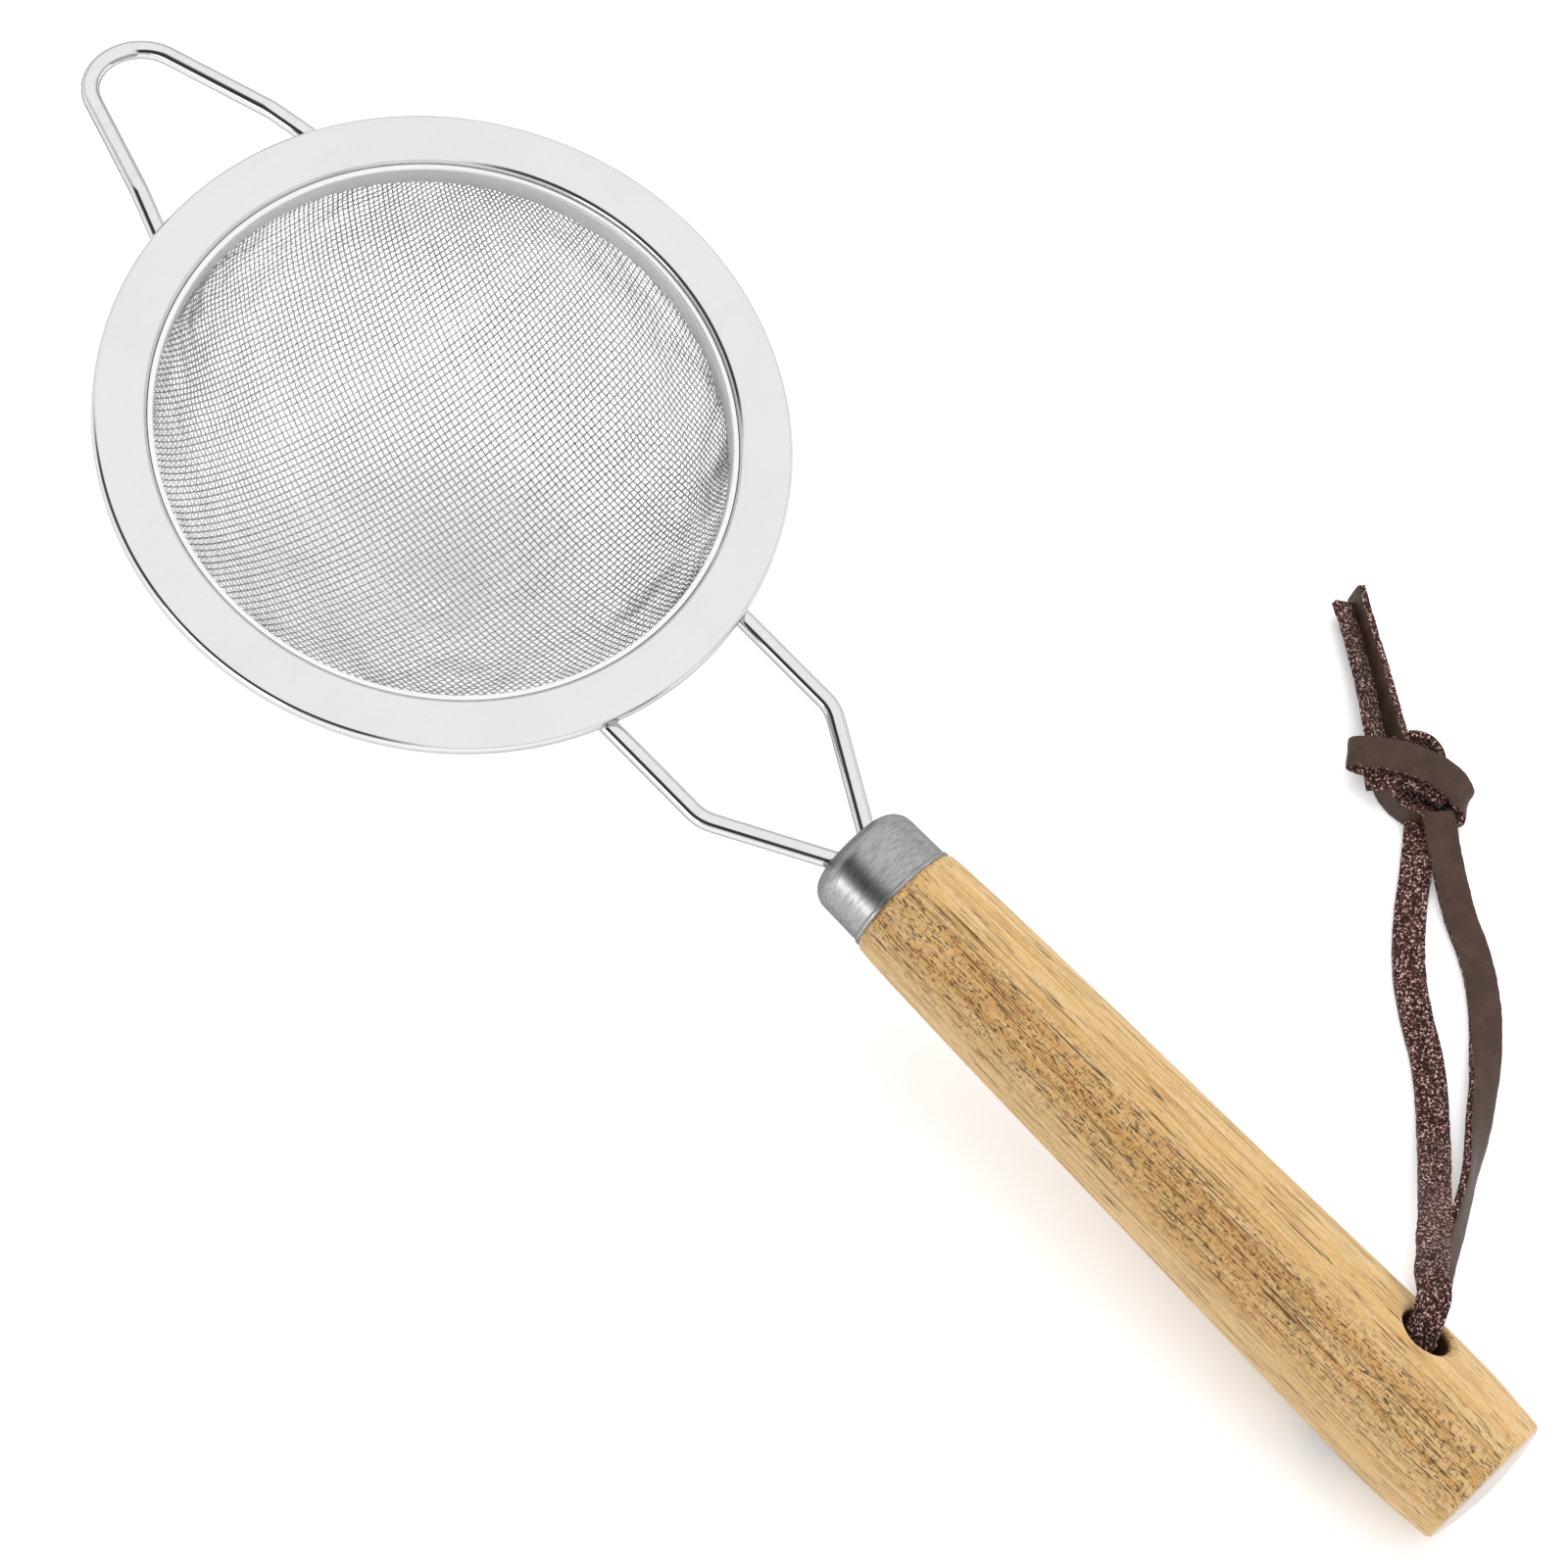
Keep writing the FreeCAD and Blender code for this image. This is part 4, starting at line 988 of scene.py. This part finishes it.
class STRAINER_OT_handle(bpy.types.Operator):
    """Turn the wooden grip and draw its steel ferrule"""

    bl_idname = "strainer.handle"
    bl_label = "Grip and ferrule"

    def execute(self, context):
        self.make_ferrule(context.scene.strainer_metal)
        self.make_grip(context.scene.strainer_handle)
        return {"FINISHED"}

    def make_ferrule(self, settings):
        steel = steel_material("Ferrule steel", settings.ferrule_steel, 0.37, 0.7, 0.1, 0.45, 0.5,
                               4200.0, (1.0, 0.16, 0.16))
        place = handle_frame()
        shell = rounded([(30.0, 0.0, 0), (30.0, 7.65, 3.0), (38.7, 7.79, 0.2), (38.9, 8.0, 0.15),
                         (39.4, 8.0, 0.2), (39.4, 7.2, 0.1), (30.6, 7.05, 2.4), (30.6, 0.0, 0)], 10)
        piece = turned("ferrule_shell", shell, place, 128, [steel], closed=False)
        for side in (1, -1):
            cut(piece, self.slot_cutter(place @ Matrix.Translation(Vector((31.0, side * 2.4, 0)) * MM)))
        finish_piece(piece, "ferrule_steel", "handle_ferrule")

    def slot_cutter(self, place, radius=1.35, stretch=0.45, depth=6.0):
        """A round-ended peg along X at that place, stretched sideways."""
        work = bmesh.new()
        bmesh.ops.create_cone(work, cap_ends=True, segments=32, radius1=radius * MM,
                              radius2=radius * MM, depth=depth * MM)
        for vertex in work.verts:
            vertex.co.y += (stretch if vertex.co.y > 0 else -stretch) * MM
        data = bpy.data.meshes.new("slot")
        work.to_mesh(data)
        work.free()
        data.transform(place @ Matrix.Rotation(math.pi / 2, 4, "Y"))
        return new_object("slot_cutter", data)

    def make_grip(self, settings):
        place = handle_frame()
        swell = [Vector(spot) for spot in ((39.4, 7.85), (42.0, 8.38), (60.0, 8.95), (90.0, 9.52),
                                           (117.0, 10.08), (131.0, 10.24), (140.0, 9.66))]
        outline = [(33.4, 0.0), (33.4, 7.0), (39.4, 7.0), *through(swell, 10), (140.45, 9.45),
                   (140.75, 9.1), (140.95, 8.5), (141.2, 7.2), (141.5, 5.2), (141.75, 2.6), (141.85, 0.0)]

        def hand_turned(point):
            return Vector((0, point.y, point.z)) * 0.006 * noise.noise(Vector((point.x * 0.03, 0, 3.0)))
        piece = turned("wooden_grip", outline, place, 160, [wood_material(settings)], closed=False,
                       sway=hand_turned)
        drill = rounded([(-16.0, 0.0, 0), (-16.0, 4.4, 0), (-10.2, 4.4, 0.3), (-9.5, 3.5, 0.8),
                         (9.5, 3.5, 0.8), (10.2, 4.4, 0.3), (16.0, 4.4, 0), (16.0, 0.0, 0)], 4)
        centre = Matrix.Translation(Vector((BORE_PLACE, 0, 0)) * MM)
        axis = Matrix.Rotation(BORE_SLANT, 4, "X") @ Matrix.Rotation(math.pi / 2, 4, "Z")
        cut(piece, turned("drill", drill, place @ centre @ axis, 48, [], closed=False))
        finish_piece(piece, "wood", "handle_grip")


# ---------------------------------------------------------------- stage


def area_light(name, place, aim, size, power):
    data = bpy.data.lights.new(name, "AREA")
    data.shape, data.size, data.size_y = "RECTANGLE", size[0], size[1]
    data.energy = power
    lamp = new_object(name, data)
    lamp.location = place
    lamp.rotation_euler = (Vector(aim) - Vector(place)).to_track_quat("-Z", "Y").to_euler()
    return lamp


class STRAINER_OT_stage(bpy.types.Operator):
    """Set up the floor, the studio light and the camera"""

    bl_idname = "strainer.stage"
    bl_label = "Stage"

    def execute(self, context):
        settings = context.scene.strainer_stage
        self.make_camera(context.scene, settings)
        self.make_floor(settings)
        self.make_world(context.scene)
        context.scene.view_settings.view_transform = "Standard"
        for lamp in (area_light("key", (-0.5, 0.5, 1.3), (0, 0, 0), (0.9, 0.9), 7.0),
                     area_light("fill", (1.0, -0.6, 0.8), (0, 0, 0), (0.8, 0.8), 5.0)):
            lamp.visible_glossy = False
        area_light("low strip", (-0.1, -1.1, 0.1), (0, 0, 0.02), (0.7, 0.24), 2.2)
        return {"FINISHED"}

    def make_camera(self, scene, settings):
        level = math.cos(settings.elevation)
        back = Vector((math.cos(settings.azimuth) * level, math.sin(settings.azimuth) * level,
                       math.sin(settings.elevation)))
        data = bpy.data.cameras.new("camera")
        data.lens, data.sensor_width = settings.lens, 36.0
        data.clip_start, data.clip_end = 0.05, 20.0
        camera = new_object("camera", data)
        camera.location = Vector(settings.target) + back * settings.distance
        facing = (-back).to_track_quat("-Z", "Y").to_matrix().to_4x4()
        camera.rotation_euler = (facing @ Matrix.Rotation(settings.roll, 4, "Z")).to_euler()
        scene.camera = camera

    def make_floor(self, settings, half=9.0):
        """A wide white floor that glows a little, so that it stays white in the picture."""
        material, nodes, shader = new_material("Floor", {
            "Roughness": 0.75, "Specular IOR Level": 0.2, "Emission Color": (1.0, 1.0, 1.0, 1.0),
            "Emission Strength": 0.22})
        shade = [channel * 0.985 for channel in settings.floor]
        cloud = nodes.noise(nodes.place(), 3.0, 2.0)
        nodes.feed(shader.inputs["Base Color"], nodes.blend(cloud, shade, settings.floor))
        corners = [(-half, -half, 0), (half, -half, 0), (half, half, 0), (-half, half, 0)]
        mesh_object("floor", corners, [(0, 1, 2, 3)], [material])

    def make_world(self, scene):
        """A white tent that dims towards the floor, with a dark flag above the horizon on one side."""
        world = bpy.data.worlds.new("Studio")
        world.use_nodes = True
        scene.world = world
        nodes = Nodes(world.node_tree)
        heading = nodes.put("ShaderNodeTexCoord").outputs["Generated"]
        height = nodes.split(heading)[2]
        tent = nodes.blend(nodes.remap(height, -0.1, 0.45), (0.55, 0.55, 0.56), (1.0, 1.0, 1.0))
        aim = math.radians(-98.0)
        level = nodes.vector("NORMALIZE", nodes.vector("MULTIPLY", heading, (1.0, 1.0, 0.0)))
        facing = nodes.put("ShaderNodeVectorMath", {0: level, 1: (math.cos(aim), math.sin(aim), 0.0)},
                           operation="DOT_PRODUCT").outputs["Value"]
        above = nodes.remap(height, 0.22, 0.32) * nodes.remap(height, 0.90, 0.76)
        flag = nodes.remap(facing, 0.42, 0.66) * above
        tent = nodes.blend(flag, tent, (0.045, 0.045, 0.047))
        back = world.node_tree.nodes["Background"]
        nodes.feed(back.inputs["Color"], tent)
        back.inputs["Strength"].default_value = 1.25


# ---------------------------------------------------------------- panel and registration


class STRAINER_PT_panel(bpy.types.Panel):
    """Lists the strainer's settings and makers"""

    bl_idname = "STRAINER_PT_panel"
    bl_label = "Tea strainer"
    bl_space_type = "VIEW_3D"
    bl_region_type = "UI"
    bl_category = "Strainer"

    def draw(self, context):
        for settings in (context.scene.strainer_metal, context.scene.strainer_handle,
                         context.scene.strainer_stage):
            box = self.layout.box()
            for name in settings.__annotations__:
                box.prop(settings, name)
        for maker in MAKERS:
            self.layout.operator(maker.bl_idname)


SETTINGS = (StrainerMetalSettings, StrainerHandleSettings, StrainerStageSettings)
MAKERS = (STRAINER_OT_stage, STRAINER_OT_lace, STRAINER_OT_bowl, STRAINER_OT_rim, STRAINER_OT_wires,
          STRAINER_OT_handle)


def register():
    for item in (*SETTINGS, *MAKERS, STRAINER_PT_panel):
        bpy.utils.register_class(item)
    bpy.types.Scene.strainer_metal = PointerProperty(type=StrainerMetalSettings)
    bpy.types.Scene.strainer_handle = PointerProperty(type=StrainerHandleSettings)
    bpy.types.Scene.strainer_stage = PointerProperty(type=StrainerStageSettings)


def unregister():
    del bpy.types.Scene.strainer_stage
    del bpy.types.Scene.strainer_handle
    del bpy.types.Scene.strainer_metal
    for item in reversed((*SETTINGS, *MAKERS, STRAINER_PT_panel)):
        bpy.utils.unregister_class(item)


def main():
    register()
    bpy.ops.strainer.stage()
    bpy.ops.strainer.lace()
    bpy.ops.strainer.bowl()
    bpy.ops.strainer.rim()
    bpy.ops.strainer.wires()
    bpy.ops.strainer.handle()


if __name__ == "__main__":
    main()
